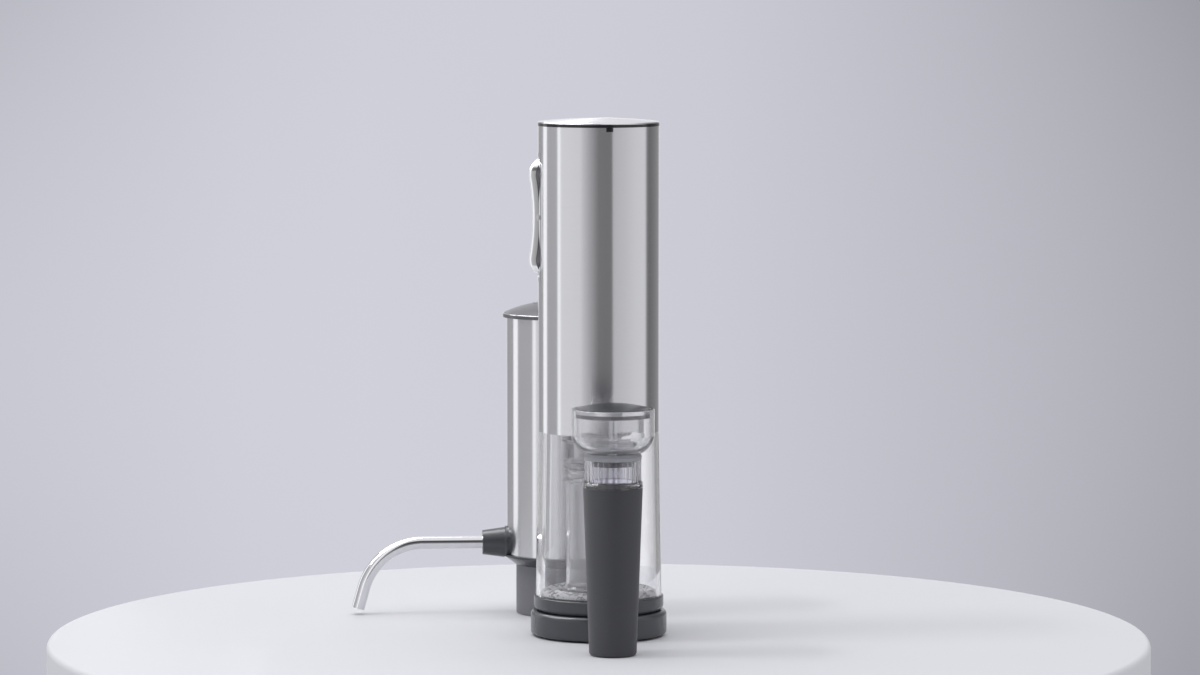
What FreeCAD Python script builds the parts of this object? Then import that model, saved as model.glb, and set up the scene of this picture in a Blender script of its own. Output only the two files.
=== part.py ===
import FreeCAD, Part
import math
import os
import re
import Sketcher

# A wine-keeping set of three tools that stand side by side, in millimetres, +Z up.
# The origin is on the table under the axis of the bottle opener and its charging base.
# The opener stands on a foil cutter, and both stand on the base. The pump dispenser stands on
# its bottle socket behind them, and the vacuum stopper stands on its sleeve in front.

PLANETS = 3
CUTTER_WHEELS = 4
BASE_FEET = 4
BASE_SCREWS = 3
STOPPER_RIBS = 30
WORM_POINT = 0.15
FUSE_TOLERANCE = 0.001
SCREW_START = 30.0
WHEEL_START = 45.0
PRESSURE_ANGLE = 20.0
ADDENDUM = 0.8
DEDENDUM = 1.1
FLANK_STEPS = (0.0, 0.35, 0.7, 1.0)
THREAD_RIDGES = 3
SOFT_CORNER = 1.05
PAST = 1.0

LEFT = 1
RIGHT = -1

SIZES = [
    # where the tools stand: the dispenser is turned so that its spout points away from the opener
    ("dispenser_x", -19.1), ("dispenser_y", 71.0), ("dispenser_angle", 184.5),
    ("stopper_x", 6.2), ("stopper_y", -62.6),
    # fits shared by all pieces
    ("moving_gap", 0.3), ("running_fit", 0.05), ("seat_fit", 0.02), ("face_gap", 0.1),
    ("seat_lip", 0.6),
    # charging base
    ("base_radius", 30.4), ("base_height", 11.5), ("base_round", 2.0), ("base_foot_round", 1.2),
    ("base_wall", 2.0), ("plate_thick", 2.0), ("foot_rise", 0.8), ("foot_radius", 4.0),
    ("foot_circle", 21.0), ("dock_radius", 12.5), ("dock_rise", 5.6), ("post_radius", 3.2),
    ("screw_radius", 1.0), ("screw_head_radius", 2.0), ("screw_head_rise", 1.2),
    ("screw_reach", 5.0), ("board_thick", 1.6), ("inlet_lift", 0.8), ("inlet_wide", 9.0),
    ("inlet_tall", 5.0), ("inlet_deep", 11.0),
    ("inlet_bore", 2.1), ("inlet_pin", 0.6), ("contact_radius", 1.2), ("contact_offset", 6.5),
    ("contact_rise", 0.8),
    # foil cutter
    ("cutter_radius", 29.0), ("cutter_height", 6.8), ("cutter_round", 2.4),
    ("cutter_top_round", 0.6), ("cutter_hole", 15.6), ("wheel_radius", 5.0), ("wheel_thick", 0.8),
    ("wheel_bite", 1.8), ("wheel_pin", 1.0), ("cutter_skin", 1.0),
    # opener body
    ("tube_radius", 27.0), ("tube_wall", 0.8), ("tube_height", 136.2), ("shell_height", 73.5),
    ("shell_foot_radius", 28.2), ("shell_wall", 2.0), ("shell_spigot", 5.0),
    ("ring_height", 1.3), ("ring_proud", 0.1), ("cap_rise", 2.0),
    ("cap_edge_inset", 0.5), ("cap_dome", 260.0), ("cap_wall", 1.4), ("cap_skirt", 3.2),
    ("notch_wide", 3.1), ("notch_tall", 1.9), ("notch_x", 3.35),
    # bottle guide inside the clear shell
    ("guide_radius", 14.6), ("guide_wall", 1.3), ("guide_foot_radius", 16.5),
    ("guide_foot_rise", 1.6), ("guide_foot_height", 3.4), ("guide_body_height", 45.6),
    ("guide_thread_radius", 16.0), ("guide_thread_height", 9.6), ("guide_waist_radius", 11.0),
    ("guide_waist_height", 8.6), ("guide_rim_radius", 16.5), ("guide_rim_thick", 1.4),
    ("guide_bore", 9.8),
    # chassis, gear stage and worm
    ("chassis_wall", 2.0), ("chassis_floor", 2.0), ("chassis_top_gap", 2.4),
    ("gear_pocket_height", 11.0), ("ring_gear_radius", 20.0), ("gear_module", 0.9),
    ("sun_teeth", 12), ("planet_teeth", 12), ("gear_face", 5.0), ("gear_backlash", 0.16),
    ("planet_pin", 1.5), ("carrier_radius", 13.0), ("carrier_thick", 2.0),
    ("cover_thick", 2.0), ("drive_shaft", 4.0), ("bush_radius", 8.0), ("bush_height", 6.0),
    ("worm_pitch", 9.5), ("worm_turns", 5.0), ("worm_coil", 3.2), ("worm_wire", 1.6),
    ("worm_collar", 5.6), ("worm_collar_height", 6.0), ("worm_tip", 6.0),
    ("motor_radius", 12.0), ("motor_height", 31.0), ("motor_seat", 21.0), ("motor_shaft", 1.15),
    ("shaft_hole", 2.3), ("motor_bell", 5.0), ("motor_bell_height", 2.0),
    # battery, board and switches of the opener
    ("cell_radius", 9.2), ("cell_height", 65.0), ("cell_x", 4.5), ("cell_spread", 9.5),
    ("cell_cap", 3.0), ("holder_wide", 36.0), ("holder_gap", 1.35), ("holder_spine", 2.0),
    ("control_board_wide", 24.0), ("control_board_tall", 62.0), ("switch_side", 6.0),
    ("switch_deep", 3.6), ("switch_spread", 14.0),
    # rocker, measured out along its own side
    ("rocker_drop", 40.5), ("rocker_half", 26.4), ("rocker_wide", 13.0), ("rocker_sink", 4.5),
    ("rocker_edge_sink", 0.8), ("rocker_lobe_rise", 3.9), ("rocker_lobe_half", 18.5),
    ("rocker_waist_arc", 108.0), ("rocker_end_arc", 9.0), ("rocker_pin", 1.2),
    ("rocker_pin_sink", 1.8), ("rocker_leg", 3.0), ("rocker_leg_reach", 8.5),
    ("bezel_rim", 1.7), ("bezel_proud", 0.25), ("bezel_depth", 7.0),
    # dispenser
    ("can_radius", 23.3), ("can_wall", 0.8), ("can_low", 27.65), ("can_height", 109.65),
    ("lid_radius", 25.0), ("lid_wall", 1.8), ("lid_band", 1.4), ("lid_dome", 59.3),
    ("lid_shoulder", 0.5), ("lid_shoulder_inset", 0.4), ("lid_skirt", 5.5),
    ("press_radius", 10.7), ("press_edge", 3.0), ("press_flange", 1.4),
    ("press_stem", 2.2), ("press_stem_reach", 3.2), ("press_wall", 1.4),
    ("collar_tall", 4.8), ("collar_foot", 19.3), ("collar_rim", 24.6), ("collar_rim_tall", 0.9),
    ("collar_spigot", 4.0),
    ("socket_radius", 19.0), ("socket_bore", 14.8), ("socket_depth", 20.0),
    ("socket_round", 0.8), ("socket_flare", 0.6),
    ("wine_pipe", 3.0), ("wine_bore", 1.8), ("block_radius", 5.6),
    ("block_height", 10.7), ("air_radius", 1.8), ("air_bore", 1.0), ("air_offset", 8.2),
    ("spout_z", 32.9), ("boss_reach", 34.7), ("boss_tip", 5.6), ("boss_root", 7.0),
    ("boss_shank", 4.8), ("boss_shank_in", 5.7), ("boss_buried", 3.0), ("boss_lip", 0.5),
    ("spout_radius", 3.0), ("spout_wall", 0.6), ("spout_root", 24.0), ("spout_run", 38.2),
    ("spout_bend", 28.4), ("spout_angle", 74.3), ("spout_drop", 9.7),
    ("frame_low", 39.0), ("frame_wall", 1.8), ("frame_plate", 2.0), ("frame_window", 32.0),
    ("pump_side", 22.0), ("pump_tall", 10.0), ("pump_bore", 6.3), ("crank_radius", 3.6),
    ("crank_throw", 2.0), ("crank_thick", 5.0), ("crank_shaft", 1.1), ("small_motor", 10.0),
    ("small_motor_height", 24.5), ("aa_radius", 7.1), ("aa_height", 50.5), ("aa_spread", 8.0),
    ("switch_base", 3.0), ("switch_rise", 4.0), ("spring_radius", 4.6), ("spring_wire", 0.4),
    ("spring_turns", 4.5),
    # stopper
    ("sleeve_height", 73.6), ("sleeve_foot", 10.4), ("sleeve_top", 13.0), ("sleeve_round", 1.5),
    ("sleeve_floor", 3.0), ("sleeve_port", 2.0), ("stem_radius", 8.6), ("stem_bore", 7.2),
    ("stem_floor", 44.0), ("stem_floor_thick", 1.5), ("ledge_radius", 13.1), ("ledge_tall", 2.6),
    ("barrel_radius", 12.4), ("barrel_bore", 9.4), ("barrel_tall", 12.0), ("rib_depth", 0.5),
    ("rib_gap", 0.5), ("seal_ring_tall", 2.9), ("seal_ring_radius", 12.6),
    ("bowl_foot", 12.5), ("bowl_radius", 18.1), ("bowl_wall", 1.5), ("bowl_tall", 19.3),
    ("bowl_curve_rise", 7.6), ("bowl_curve", 9.5), ("bowl_floor", 2.0), ("rod_radius", 1.8),
    ("spring_length", 20.5), ("rod_foot", 6.6), ("rod_foot_thick", 1.5), ("piston_radius", 8.2),
    ("piston_thick", 2.2), ("piston_drop", 2.6), ("piston_seal", 9.1),
    ("dome_radius", 16.0), ("dome_edge", 0.3), ("dome_rise", 2.2), ("dome_sink", 0.2),
    ("flange_radius", 16.2), ("flange_tall", 1.8),
    ("gasket_tall", 1.6), ("gasket_radius", 16.2), ("gasket_wide", 3.5),
    ("coil_radius", 5.4), ("coil_wire", 0.6), ("coil_turns", 6.0),
]


class Size:
    """A number together with the spreadsheet expression that gives it."""

    def __init__(self, value, text):
        self.value = float(value)
        self.text = text

    @staticmethod
    def of(number):
        return number if isinstance(number, Size) else Size(number, f"{float(number):.9f}")

    def __add__(self, other):
        other = Size.of(other)
        return Size(self.value + other.value, f"({self.text} + {other.text})")

    def __sub__(self, other):
        other = Size.of(other)
        return Size(self.value - other.value, f"({self.text} - {other.text})")

    def __mul__(self, other):
        other = Size.of(other)
        return Size(self.value * other.value, f"({self.text} * {other.text})")

    def __truediv__(self, other):
        other = Size.of(other)
        return Size(self.value / other.value, f"({self.text} / {other.text})")

    def __radd__(self, other):
        return Size.of(other) + self

    def __rsub__(self, other):
        return Size.of(other) - self

    def __rmul__(self, other):
        return Size.of(other) * self

    def __neg__(self):
        return Size(-self.value, f"(-1 * {self.text})")

    def root(self):
        return Size(math.sqrt(self.value), f"sqrt({self.text})")


class SizeSheet:
    """The spreadsheet of driving dimensions, read as attributes."""

    def __init__(self, document, rows):
        self.cells = document.addObject("Spreadsheet::Sheet", "Sizes")
        for number, (alias, value) in enumerate(rows, start=1):
            self.cells.set(f"A{number}", alias.replace("_", " "))
            self.cells.set(f"B{number}", str(value))
            self.cells.setAlias(f"B{number}", alias)
        document.recompute()

    def __getattr__(self, alias):
        return Size(self.cells.get(alias), f"Sizes.{alias}")


doc = FreeCAD.newDocument("wine_set")
d = SizeSheet(doc, SIZES)
nodes = []


def vector(x=0.0, y=0.0, z=0.0):
    return FreeCAD.Vector(float(x), float(y), float(z))


def bind(item, prop, size):
    """Tie a property of a document object to the spreadsheet."""
    size = Size.of(size)
    item.setExpression(prop, size.text)


def safe_name(label):
    return re.sub("[^A-Za-z0-9]", "_", label)


def new_body(label):
    body = doc.addObject("PartDesign::Body", safe_name(label))
    body.Label = label
    return body


def new_sketch(body, name, plane, offset=0.0):
    """A sketch on one of the body's own origin planes, moved out along the plane's normal."""
    sketch = body.newObject("Sketcher::SketchObject", name)
    found = [item for item in body.Origin.OriginFeatures if item.Role == plane]
    sketch.AttachmentSupport = (found[0], "")
    sketch.MapMode = "FlatFace"
    bind(sketch, "AttachmentOffset.Base.z", offset)
    return sketch


def pin_point(sketch, edge, end, x, y):
    """Hold one end of a sketch edge at a place given by two sizes."""
    for kind, size, axis in (("DistanceX", x, -2), ("DistanceY", y, -1)):
        if size.value == 0.0:
            sketch.addConstraint(Sketcher.Constraint("PointOnObject", edge, end, axis))
            continue
        number = sketch.addConstraint(Sketcher.Constraint(kind, -1, 1, edge, end, size.value))
        sketch.setExpression(f"Constraints[{number}]", size.text)


def draw_outline(sketch, outline):
    """Draw a closed outline. An entry is (x, y), or (x, y, radius, LEFT or RIGHT) to be reached
    by an arc that turns that way."""
    corners = [(Size.of(entry[0]), Size.of(entry[1])) for entry in outline]
    count = len(outline)
    starts = []
    for number in range(count):
        target = outline[(number + 1) % count]
        x0, y0 = corners[number]
        x1, y1 = corners[(number + 1) % count]
        start = vector(x0.value, y0.value)
        end = vector(x1.value, y1.value)
        if len(target) == 2:
            edge = sketch.addGeometry(Part.LineSegment(start, end), False)
            starts.append((edge, 1, 2))
            continue
        radius = Size.of(target[2])
        turn = target[3]
        chord = end - start
        normal = vector(-chord.y, chord.x) * (turn / chord.Length)
        reach = math.sqrt(max(radius.value ** 2 - (chord.Length / 2) ** 2, 0.0))
        middle = (start + end) * 0.5 + normal * (reach - radius.value)
        edge = sketch.addGeometry(Part.Arc(start, middle, end), False)
        starts.append((edge, 1, 2) if turn == LEFT else (edge, 2, 1))
    for number in range(count):
        edge, _, last = starts[number]
        following, first, _ = starts[(number + 1) % count]
        sketch.addConstraint(Sketcher.Constraint("Coincident", edge, last, following, first))
    for number, (edge, first, _) in enumerate(starts):
        pin_point(sketch, edge, first, *corners[number])
    for number, (edge, _, _) in enumerate(starts):
        target = outline[(number + 1) % count]
        if len(target) == 4:
            radius = Size.of(target[2])
            row = sketch.addConstraint(Sketcher.Constraint("Radius", edge, radius.value))
            sketch.setExpression(f"Constraints[{row}]", radius.text)


def lathe(label, outline):
    """A body turned about Z from an outline of (radius, height) points."""
    body = new_body(label)
    sketch = new_sketch(body, "outline", "XZ_Plane")
    draw_outline(sketch, outline)
    turned = body.newObject("PartDesign::Revolution", "turned")
    turned.Profile = sketch
    turned.ReferenceAxis = (sketch, ["V_Axis"])
    turned.Angle = 360
    return body


def prism(label, plane, outline, low, high):
    """A body padded from an outline, between two distances from an origin plane."""
    low = Size.of(low)
    body = new_body(label)
    sketch = new_sketch(body, "outline", plane, low)
    draw_outline(sketch, outline)
    pad = body.newObject("PartDesign::Pad", "pad")
    pad.Profile = sketch
    bind(pad, "Length", Size.of(high) - low)
    return body


def cylinder(label, radius, low, high, x=0.0, y=0.0):
    """An upright cylinder."""
    item = doc.addObject("Part::Cylinder", safe_name(label))
    item.Label = label
    bind(item, "Radius", radius)
    bind(item, "Height", Size.of(high) - Size.of(low))
    bind(item, "Placement.Base.x", x)
    bind(item, "Placement.Base.y", y)
    bind(item, "Placement.Base.z", low)
    return item


def lying_cylinder(label, axis, radius, low, high, across, z):
    """A cylinder along X or Y, from low to high, at a distance across and a height."""
    item = cylinder(label, radius, low, high)
    turn = vector(0, 1, 0) if axis == "X" else vector(-1, 0, 0)
    item.Placement = FreeCAD.Placement(vector(), FreeCAD.Rotation(turn, 90))
    bind(item, "Placement.Base.x", low if axis == "X" else across)
    bind(item, "Placement.Base.y", across if axis == "X" else low)
    bind(item, "Placement.Base.z", z)
    return item


def box(label, xs, ys, zs):
    """A block between three pairs of limits."""
    item = doc.addObject("Part::Box", safe_name(label))
    item.Label = label
    for (low, high), length, place in zip((xs, ys, zs), ("Length", "Width", "Height"), "xyz"):
        bind(item, length, Size.of(high) - Size.of(low))
        bind(item, f"Placement.Base.{place}", low)
    return item


def fuse(label, *items):
    item = doc.addObject("Part::MultiFuse", safe_name(label))
    item.Label = label
    item.Shapes = list(items)
    item.Refine = True
    return item


def cut(label, base, *tools):
    item = doc.addObject("Part::Cut", safe_name(label))
    item.Label = label
    item.Base = base
    item.Tool = tools[0] if len(tools) == 1 else fuse(f"{label} cutters", *tools)
    return item


def common(label, *items):
    item = doc.addObject("Part::MultiCommon", safe_name(label))
    item.Label = label
    item.Shapes = list(items)
    return item


def group(label, items):
    """Separate solids that share one node."""
    item = doc.addObject("Part::Compound", safe_name(label))
    item.Label = label
    item.Links = list(items)
    return item


def feature(label, shape):
    item = doc.addObject("Part::Feature", safe_name(label))
    item.Label = label
    item.Shape = shape
    return item


def keep(item, x=0.0, y=0.0, turn=0.0):
    """Put a finished piece where its tool stands and list it as a node. A piece that already
    uses its own placement goes into a group, which takes the tool's placement."""
    if item.TypeId in ("Part::Box", "Part::Cylinder", "Part::Feature"):
        label = item.Label
        item.Label = f"{label} solid"
        item = group(label, [item])
    turn = Size.of(turn)
    item.Placement = FreeCAD.Placement(vector(), FreeCAD.Rotation(vector(0, 0, 1), turn.value or 360))
    for place, size in (("x", x), ("y", y)):
        bind(item, f"Placement.Base.{place}", size)
    if turn.value:
        bind(item, "Placement.Rotation.Angle", turn)
    nodes.append(item)


def keep_dispenser(item):
    keep(item, d.dispenser_x, d.dispenser_y, d.dispenser_angle)


def keep_stopper(item):
    keep(item, d.stopper_x, d.stopper_y)


def keep_side(item):
    """The rocker's side of the opener: its pieces are drawn on +X and face -X."""
    keep(item, turn=180.0)


def around(radius, count, number, start=0.0):
    """The place of one of a number of things on a circle."""
    angle = math.radians(start + 360.0 * number / count)
    return radius * math.cos(angle), radius * math.sin(angle)


# ---------------------------------------------------------------------------------- levels
base_top = d.base_height
dock_top = base_top + d.dock_rise
cutter_top = base_top + d.cutter_height
shell_top = cutter_top + d.shell_height
tube_top = shell_top + d.tube_height
ring_top = tube_top + d.ring_height
opener_top = ring_top + d.cap_rise
plate_top = d.foot_rise + d.plate_thick
inlet_low = plate_top + d.inlet_lift
inlet_outer = d.base_radius - d.face_gap * 4
chassis_low = shell_top + d.shell_spigot
gear_low = chassis_low + d.chassis_floor
planet_low = gear_low + d.moving_gap + d.carrier_thick + d.moving_gap
planet_high = planet_low + d.gear_face
pocket_top = gear_low + d.gear_pocket_height
cover_low = pocket_top - d.cover_thick
motor_top = pocket_top + d.motor_height
cell_low = motor_top + d.motor_bell_height + d.cell_cap
cell_high = cell_low + d.cell_height
tube_inner = d.tube_radius - d.tube_wall
chassis_outer = tube_inner - d.face_gap
chassis_inner = chassis_outer - d.chassis_wall
chassis_high = tube_top - d.chassis_top_gap
rocker_z = tube_top - d.rocker_drop
rocker_inner = d.tube_radius - d.rocker_sink
rocker_edge = d.tube_radius - d.rocker_edge_sink
rocker_lobe = d.tube_radius + d.rocker_lobe_rise
rocker_pin_out = d.tube_radius - d.rocker_pin_sink


# ---------------------------------------------------------------------------- charging base
def base_housing():
    rim = d.base_radius - d.base_wall
    ceiling = base_top - d.base_wall
    dock_inner = d.dock_radius - d.base_wall
    blank = lathe("base housing blank", [
        (rim, d.foot_rise),
        (d.base_radius - d.base_foot_round, d.foot_rise),
        (d.base_radius, d.foot_rise + d.base_foot_round, d.base_foot_round, LEFT),
        (d.base_radius, base_top - d.base_round),
        (d.base_radius - d.base_round, base_top, d.base_round, LEFT),
        (d.dock_radius, base_top),
        (d.dock_radius, dock_top),
        (0, dock_top),
        (0, dock_top - d.base_wall),
        (dock_inner, dock_top - d.base_wall),
        (dock_inner, ceiling),
        (rim, ceiling),
    ])
    posts = []
    bores = []
    for number in range(BASE_SCREWS):
        x, y = around(d.foot_circle, BASE_SCREWS, number, SCREW_START)
        posts.append(cylinder(f"base post {number}", d.post_radius, plate_top,
                              base_top - d.base_wall / 2, x, y))
        bores.append(cylinder(f"base post bore {number}", d.screw_radius + d.seat_fit,
                              d.foot_rise, plate_top + d.screw_reach, x, y))
    for side in (-1, 1):
        bores.append(cylinder(f"contact hole {side}", d.contact_radius + d.seat_fit,
                              dock_top - d.base_wall * 2, dock_top + d.foot_rise,
                              side * d.contact_offset))
    window = box("inlet window", (-d.inlet_wide / 2 - d.face_gap, d.inlet_wide / 2 + d.face_gap),
                 (d.base_radius - 2 * d.base_wall, d.base_radius + d.base_wall),
                 (inlet_low - d.face_gap, inlet_low + d.inlet_tall + d.face_gap))
    return cut("base_housing", fuse("base housing with posts", blank, *posts), window, *bores)


def base_plate():
    disc = cylinder("base plate disc", d.base_radius - d.base_wall - d.face_gap, d.foot_rise, plate_top)
    rest = box("inlet rest", (-d.inlet_wide / 2, d.inlet_wide / 2),
               (inlet_outer - d.inlet_deep, inlet_outer - d.base_wall - d.face_gap),
               (d.foot_rise, inlet_low))
    holes = []
    for number in range(BASE_SCREWS):
        x, y = around(d.foot_circle, BASE_SCREWS, number, SCREW_START)
        holes.append(cylinder(f"plate hole {number}", d.screw_radius + d.face_gap, 0,
                              plate_top + PAST, x, y))
        holes.append(cylinder(f"plate sink {number}", d.screw_head_radius + d.face_gap, 0,
                              d.foot_rise + d.screw_head_rise, x, y))
    return cut("base_plate", fuse("base plate blank", disc, rest), *holes)


def base_feet():
    feet = [cylinder("centre foot", d.foot_radius, 0, d.foot_rise)]
    for number in range(BASE_FEET):
        x, y = around(d.foot_circle, BASE_FEET, number)
        feet.append(cylinder(f"foot {number}", d.foot_radius, 0, d.foot_rise, x, y))
    return group("base_feet", feet)


def base_screws():
    screws = []
    for number in range(BASE_SCREWS):
        x, y = around(d.foot_circle, BASE_SCREWS, number, SCREW_START)
        head = cylinder(f"base screw head {number}", d.screw_head_radius, d.foot_rise,
                        d.foot_rise + d.screw_head_rise, x, y)
        shank = cylinder(f"base screw shank {number}", d.screw_radius, d.foot_rise,
                         plate_top + d.screw_reach - d.moving_gap, x, y)
        screws.append(fuse(f"base screw {number}", head, shank))
    return group("base_screws", screws)


def charge_inlet():
    inner = inlet_outer - d.inlet_deep
    middle = inlet_low + d.inlet_tall / 2
    block = box("inlet block", (-d.inlet_wide / 2, d.inlet_wide / 2), (inner, inlet_outer),
                (inlet_low, inlet_low + d.inlet_tall))
    bore = lying_cylinder("inlet bore", "Y", d.inlet_bore, inner + d.base_wall, inlet_outer + PAST, 0.0,
                          middle)
    pin = lying_cylinder("inlet pin", "Y", d.inlet_pin, inner, inlet_outer - d.base_wall, 0.0, middle)
    return fuse("charge_inlet", cut("inlet shell", block, bore), pin)


def base_contacts():
    return group("base_contacts", [
        cylinder(f"base contact {side}", d.contact_radius, dock_top - d.base_wall * 1.5,
                 dock_top + d.contact_rise, side * d.contact_offset) for side in (-1, 1)])


def make_base():
    for piece in (base_housing, base_plate, base_feet, base_screws, charge_inlet,
                  base_contacts):
        keep(piece())


# ------------------------------------------------------------------------------ foil cutter
wheel_circle = d.cutter_hole + d.wheel_radius - d.wheel_bite
wheel_middle = base_top + d.cutter_height / 2


def cutter_body():
    """The disc under the shell, which stands on a narrow raised seat."""
    shoulder = cutter_top - d.face_gap
    seat = d.shell_foot_radius - d.shell_wall + d.seat_lip
    blank = lathe("cutter blank", [
        (d.cutter_hole, base_top),
        (d.cutter_radius - d.cutter_round, base_top),
        (d.cutter_radius, base_top + d.cutter_round, d.cutter_round, LEFT),
        (d.cutter_radius, shoulder - d.cutter_top_round),
        (d.cutter_radius - d.cutter_top_round, shoulder, d.cutter_top_round, LEFT),
        (seat, shoulder),
        (seat, cutter_top),
        (d.cutter_hole, cutter_top),
    ])
    tools = []
    half = d.wheel_thick / 2 + d.moving_gap
    for number in range(CUTTER_WHEELS):
        x, y = around(wheel_circle, CUTTER_WHEELS, number, WHEEL_START)
        tools.append(cylinder(f"wheel slot {number}", d.wheel_radius + 2 * d.moving_gap,
                              wheel_middle - half, wheel_middle + half, x, y))
        tools.append(cylinder(f"wheel pin hole {number}", d.wheel_pin + d.seat_fit,
                              base_top + d.cutter_skin, cutter_top - d.cutter_skin, x, y))
    return cut("cutter_body", blank, *tools)


def cutter_pins():
    pins = []
    for number in range(CUTTER_WHEELS):
        x, y = around(wheel_circle, CUTTER_WHEELS, number, WHEEL_START)
        pins.append(cylinder(f"wheel pin {number}", d.wheel_pin, base_top + d.cutter_skin,
                             cutter_top - d.cutter_skin, x, y))
    return group("cutter_pins", pins)


def cutter_wheel(number):
    """A round blade with an edge bevelled from both faces."""
    x, y = around(wheel_circle, CUTTER_WHEELS, number, WHEEL_START)
    bore = d.wheel_pin + d.running_fit
    land = d.wheel_radius - d.wheel_thick
    wheel = lathe(f"cutter_wheel_{number + 1}", [
        (bore, wheel_middle - d.wheel_thick / 2),
        (land, wheel_middle - d.wheel_thick / 2),
        (d.wheel_radius, wheel_middle),
        (land, wheel_middle + d.wheel_thick / 2),
        (bore, wheel_middle + d.wheel_thick / 2),
    ])
    keep(wheel, x, y)


def make_cutter():
    keep(cutter_body())
    keep(cutter_pins())
    for number in range(CUTTER_WHEELS):
        cutter_wheel(number)


# ------------------------------------------------------------------------------- bottle opener
def clear_shell():
    spigot = tube_inner - d.face_gap
    return lathe("clear_shell", [
        (d.shell_foot_radius - d.shell_wall, cutter_top),
        (d.shell_foot_radius, cutter_top),
        (d.tube_radius, shell_top),
        (spigot, shell_top),
        (spigot, chassis_low),
        (d.tube_radius - d.shell_wall - d.face_gap, chassis_low),
        (d.tube_radius - d.shell_wall - d.face_gap, shell_top),
    ])


guide_low = cutter_top + d.guide_foot_rise
guide_body_low = guide_low + d.guide_foot_height
guide_thread_low = guide_body_low + d.guide_body_height
guide_waist_low = guide_thread_low + d.guide_thread_height
guide_waist_high = guide_waist_low + d.guide_waist_height
guide_rim_top = guide_waist_high + d.guide_rim_thick


def bottle_guide():
    """The clear guide for the bottle's neck: a foot ring, a cylinder, a threaded band, a waist
    and a rim, hung from the chassis by a short neck."""
    mouth = d.guide_radius - d.guide_wall
    groove = d.guide_thread_radius - d.guide_wall / 2
    turn = d.guide_thread_height / (2 * THREAD_RIDGES)
    outline = [
        (mouth, guide_low),
        (d.guide_foot_radius, guide_low),
        (d.guide_foot_radius, guide_low + d.guide_foot_height / 2),
        (d.guide_radius, guide_body_low),
        (d.guide_radius, guide_thread_low),
    ]
    for ridge in range(THREAD_RIDGES):
        foot = guide_thread_low + 2 * ridge * turn
        outline += [
            (d.guide_thread_radius, foot + turn / 2),
            (d.guide_thread_radius, foot + turn),
            (groove, foot + turn * 1.5),
            (groove, foot + turn * 2),
        ]
    outline += [
        (d.guide_waist_radius, guide_waist_low + d.guide_wall),
        (d.guide_waist_radius, guide_waist_high),
        (d.guide_rim_radius, guide_waist_high),
        (d.guide_rim_radius, guide_rim_top),
        (d.guide_waist_radius, guide_rim_top),
        (d.guide_waist_radius, chassis_low),
        (d.guide_bore, chassis_low),
        (d.guide_bore, guide_waist_low),
        (mouth, guide_waist_low - (mouth - d.guide_bore)),
    ]
    return lathe("bottle_guide", outline)


def outer_tube():
    blank = lathe("outer tube blank", [
        (tube_inner, shell_top),
        (d.tube_radius, shell_top),
        (d.tube_radius, tube_top),
        (tube_inner, tube_top),
    ])
    half = window_half_wide + d.face_gap
    window = box("rocker window", (-d.tube_radius - PAST, -d.bezel_depth), (-half, half),
                 (rocker_z - window_half_tall - d.face_gap, rocker_z + window_half_tall + d.face_gap))
    notch = box("indicator notch", (d.notch_x, d.notch_x + d.notch_wide),
                (-d.tube_radius - PAST, -d.tube_radius / 2),
                (tube_top - d.notch_tall, tube_top + PAST))
    return cut("outer_tube", blank, window, notch)


def top_ring():
    return lathe("top_ring", [
        (tube_inner, tube_top),
        (d.tube_radius + d.ring_proud, tube_top),
        (d.tube_radius + d.ring_proud, ring_top),
        (tube_inner, ring_top),
    ])


def top_cap():
    """A shallow dome with a rounded edge and a skirt that plugs the tube."""
    edge = d.tube_radius - d.cap_edge_inset
    skirt = tube_inner - d.face_gap
    dome_foot = opener_top - (d.cap_dome - (d.cap_dome * d.cap_dome - edge * edge).root())
    return lathe("top_cap", [
        (skirt, tube_top - d.cap_skirt + d.chassis_top_gap / 2),
        (skirt, ring_top),
        (d.tube_radius, ring_top),
        (d.tube_radius, dome_foot - d.cap_edge_inset),
        (edge, dome_foot, d.cap_edge_inset * SOFT_CORNER, LEFT),
        (0, opener_top, d.cap_dome, LEFT),
        (0, opener_top - d.cap_wall),
        (skirt - d.cap_wall, opener_top - d.cap_wall * 2),
        (skirt - d.cap_wall, tube_top - d.cap_skirt + d.chassis_top_gap / 2),
    ])


def chassis_blank(label):
    seat = d.motor_radius + d.seat_fit
    pocket = d.ring_gear_radius + d.seat_fit
    body = lathe(f"{label} turned", [
        (d.bush_radius + d.seat_fit, chassis_low),
        (chassis_outer, chassis_low),
        (chassis_outer, chassis_high),
        (chassis_inner, chassis_high),
        (chassis_inner, pocket_top + d.motor_seat),
        (seat, pocket_top + d.motor_seat),
        (seat, pocket_top),
        (d.shaft_hole, pocket_top),
        (d.shaft_hole, cover_low),
        (pocket, cover_low),
        (pocket, gear_low),
        (d.bush_radius + d.seat_fit, gear_low),
    ])
    half = window_half_wide + d.face_gap
    opening = box(f"{label} rocker opening", (-d.tube_radius, -chassis_inner / 2), (-half, half),
                  (rocker_z - window_half_tall - d.face_gap, rocker_z + window_half_tall + d.face_gap))
    return cut(f"{label} whole", body, opening)


def chassis_half(label, side):
    """One of the two halves of the chassis, split on the plane of the rocker."""
    reach = d.tube_radius * 2
    gap = d.face_gap / 2
    limits = (-reach, gap) if side > 0 else (-gap, reach)
    other = box(f"{label} cut half", (-reach, reach), limits, (0, opener_top))
    return cut(label, chassis_blank(label), other)


def involute(angle):
    return math.tan(angle) - angle


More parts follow.
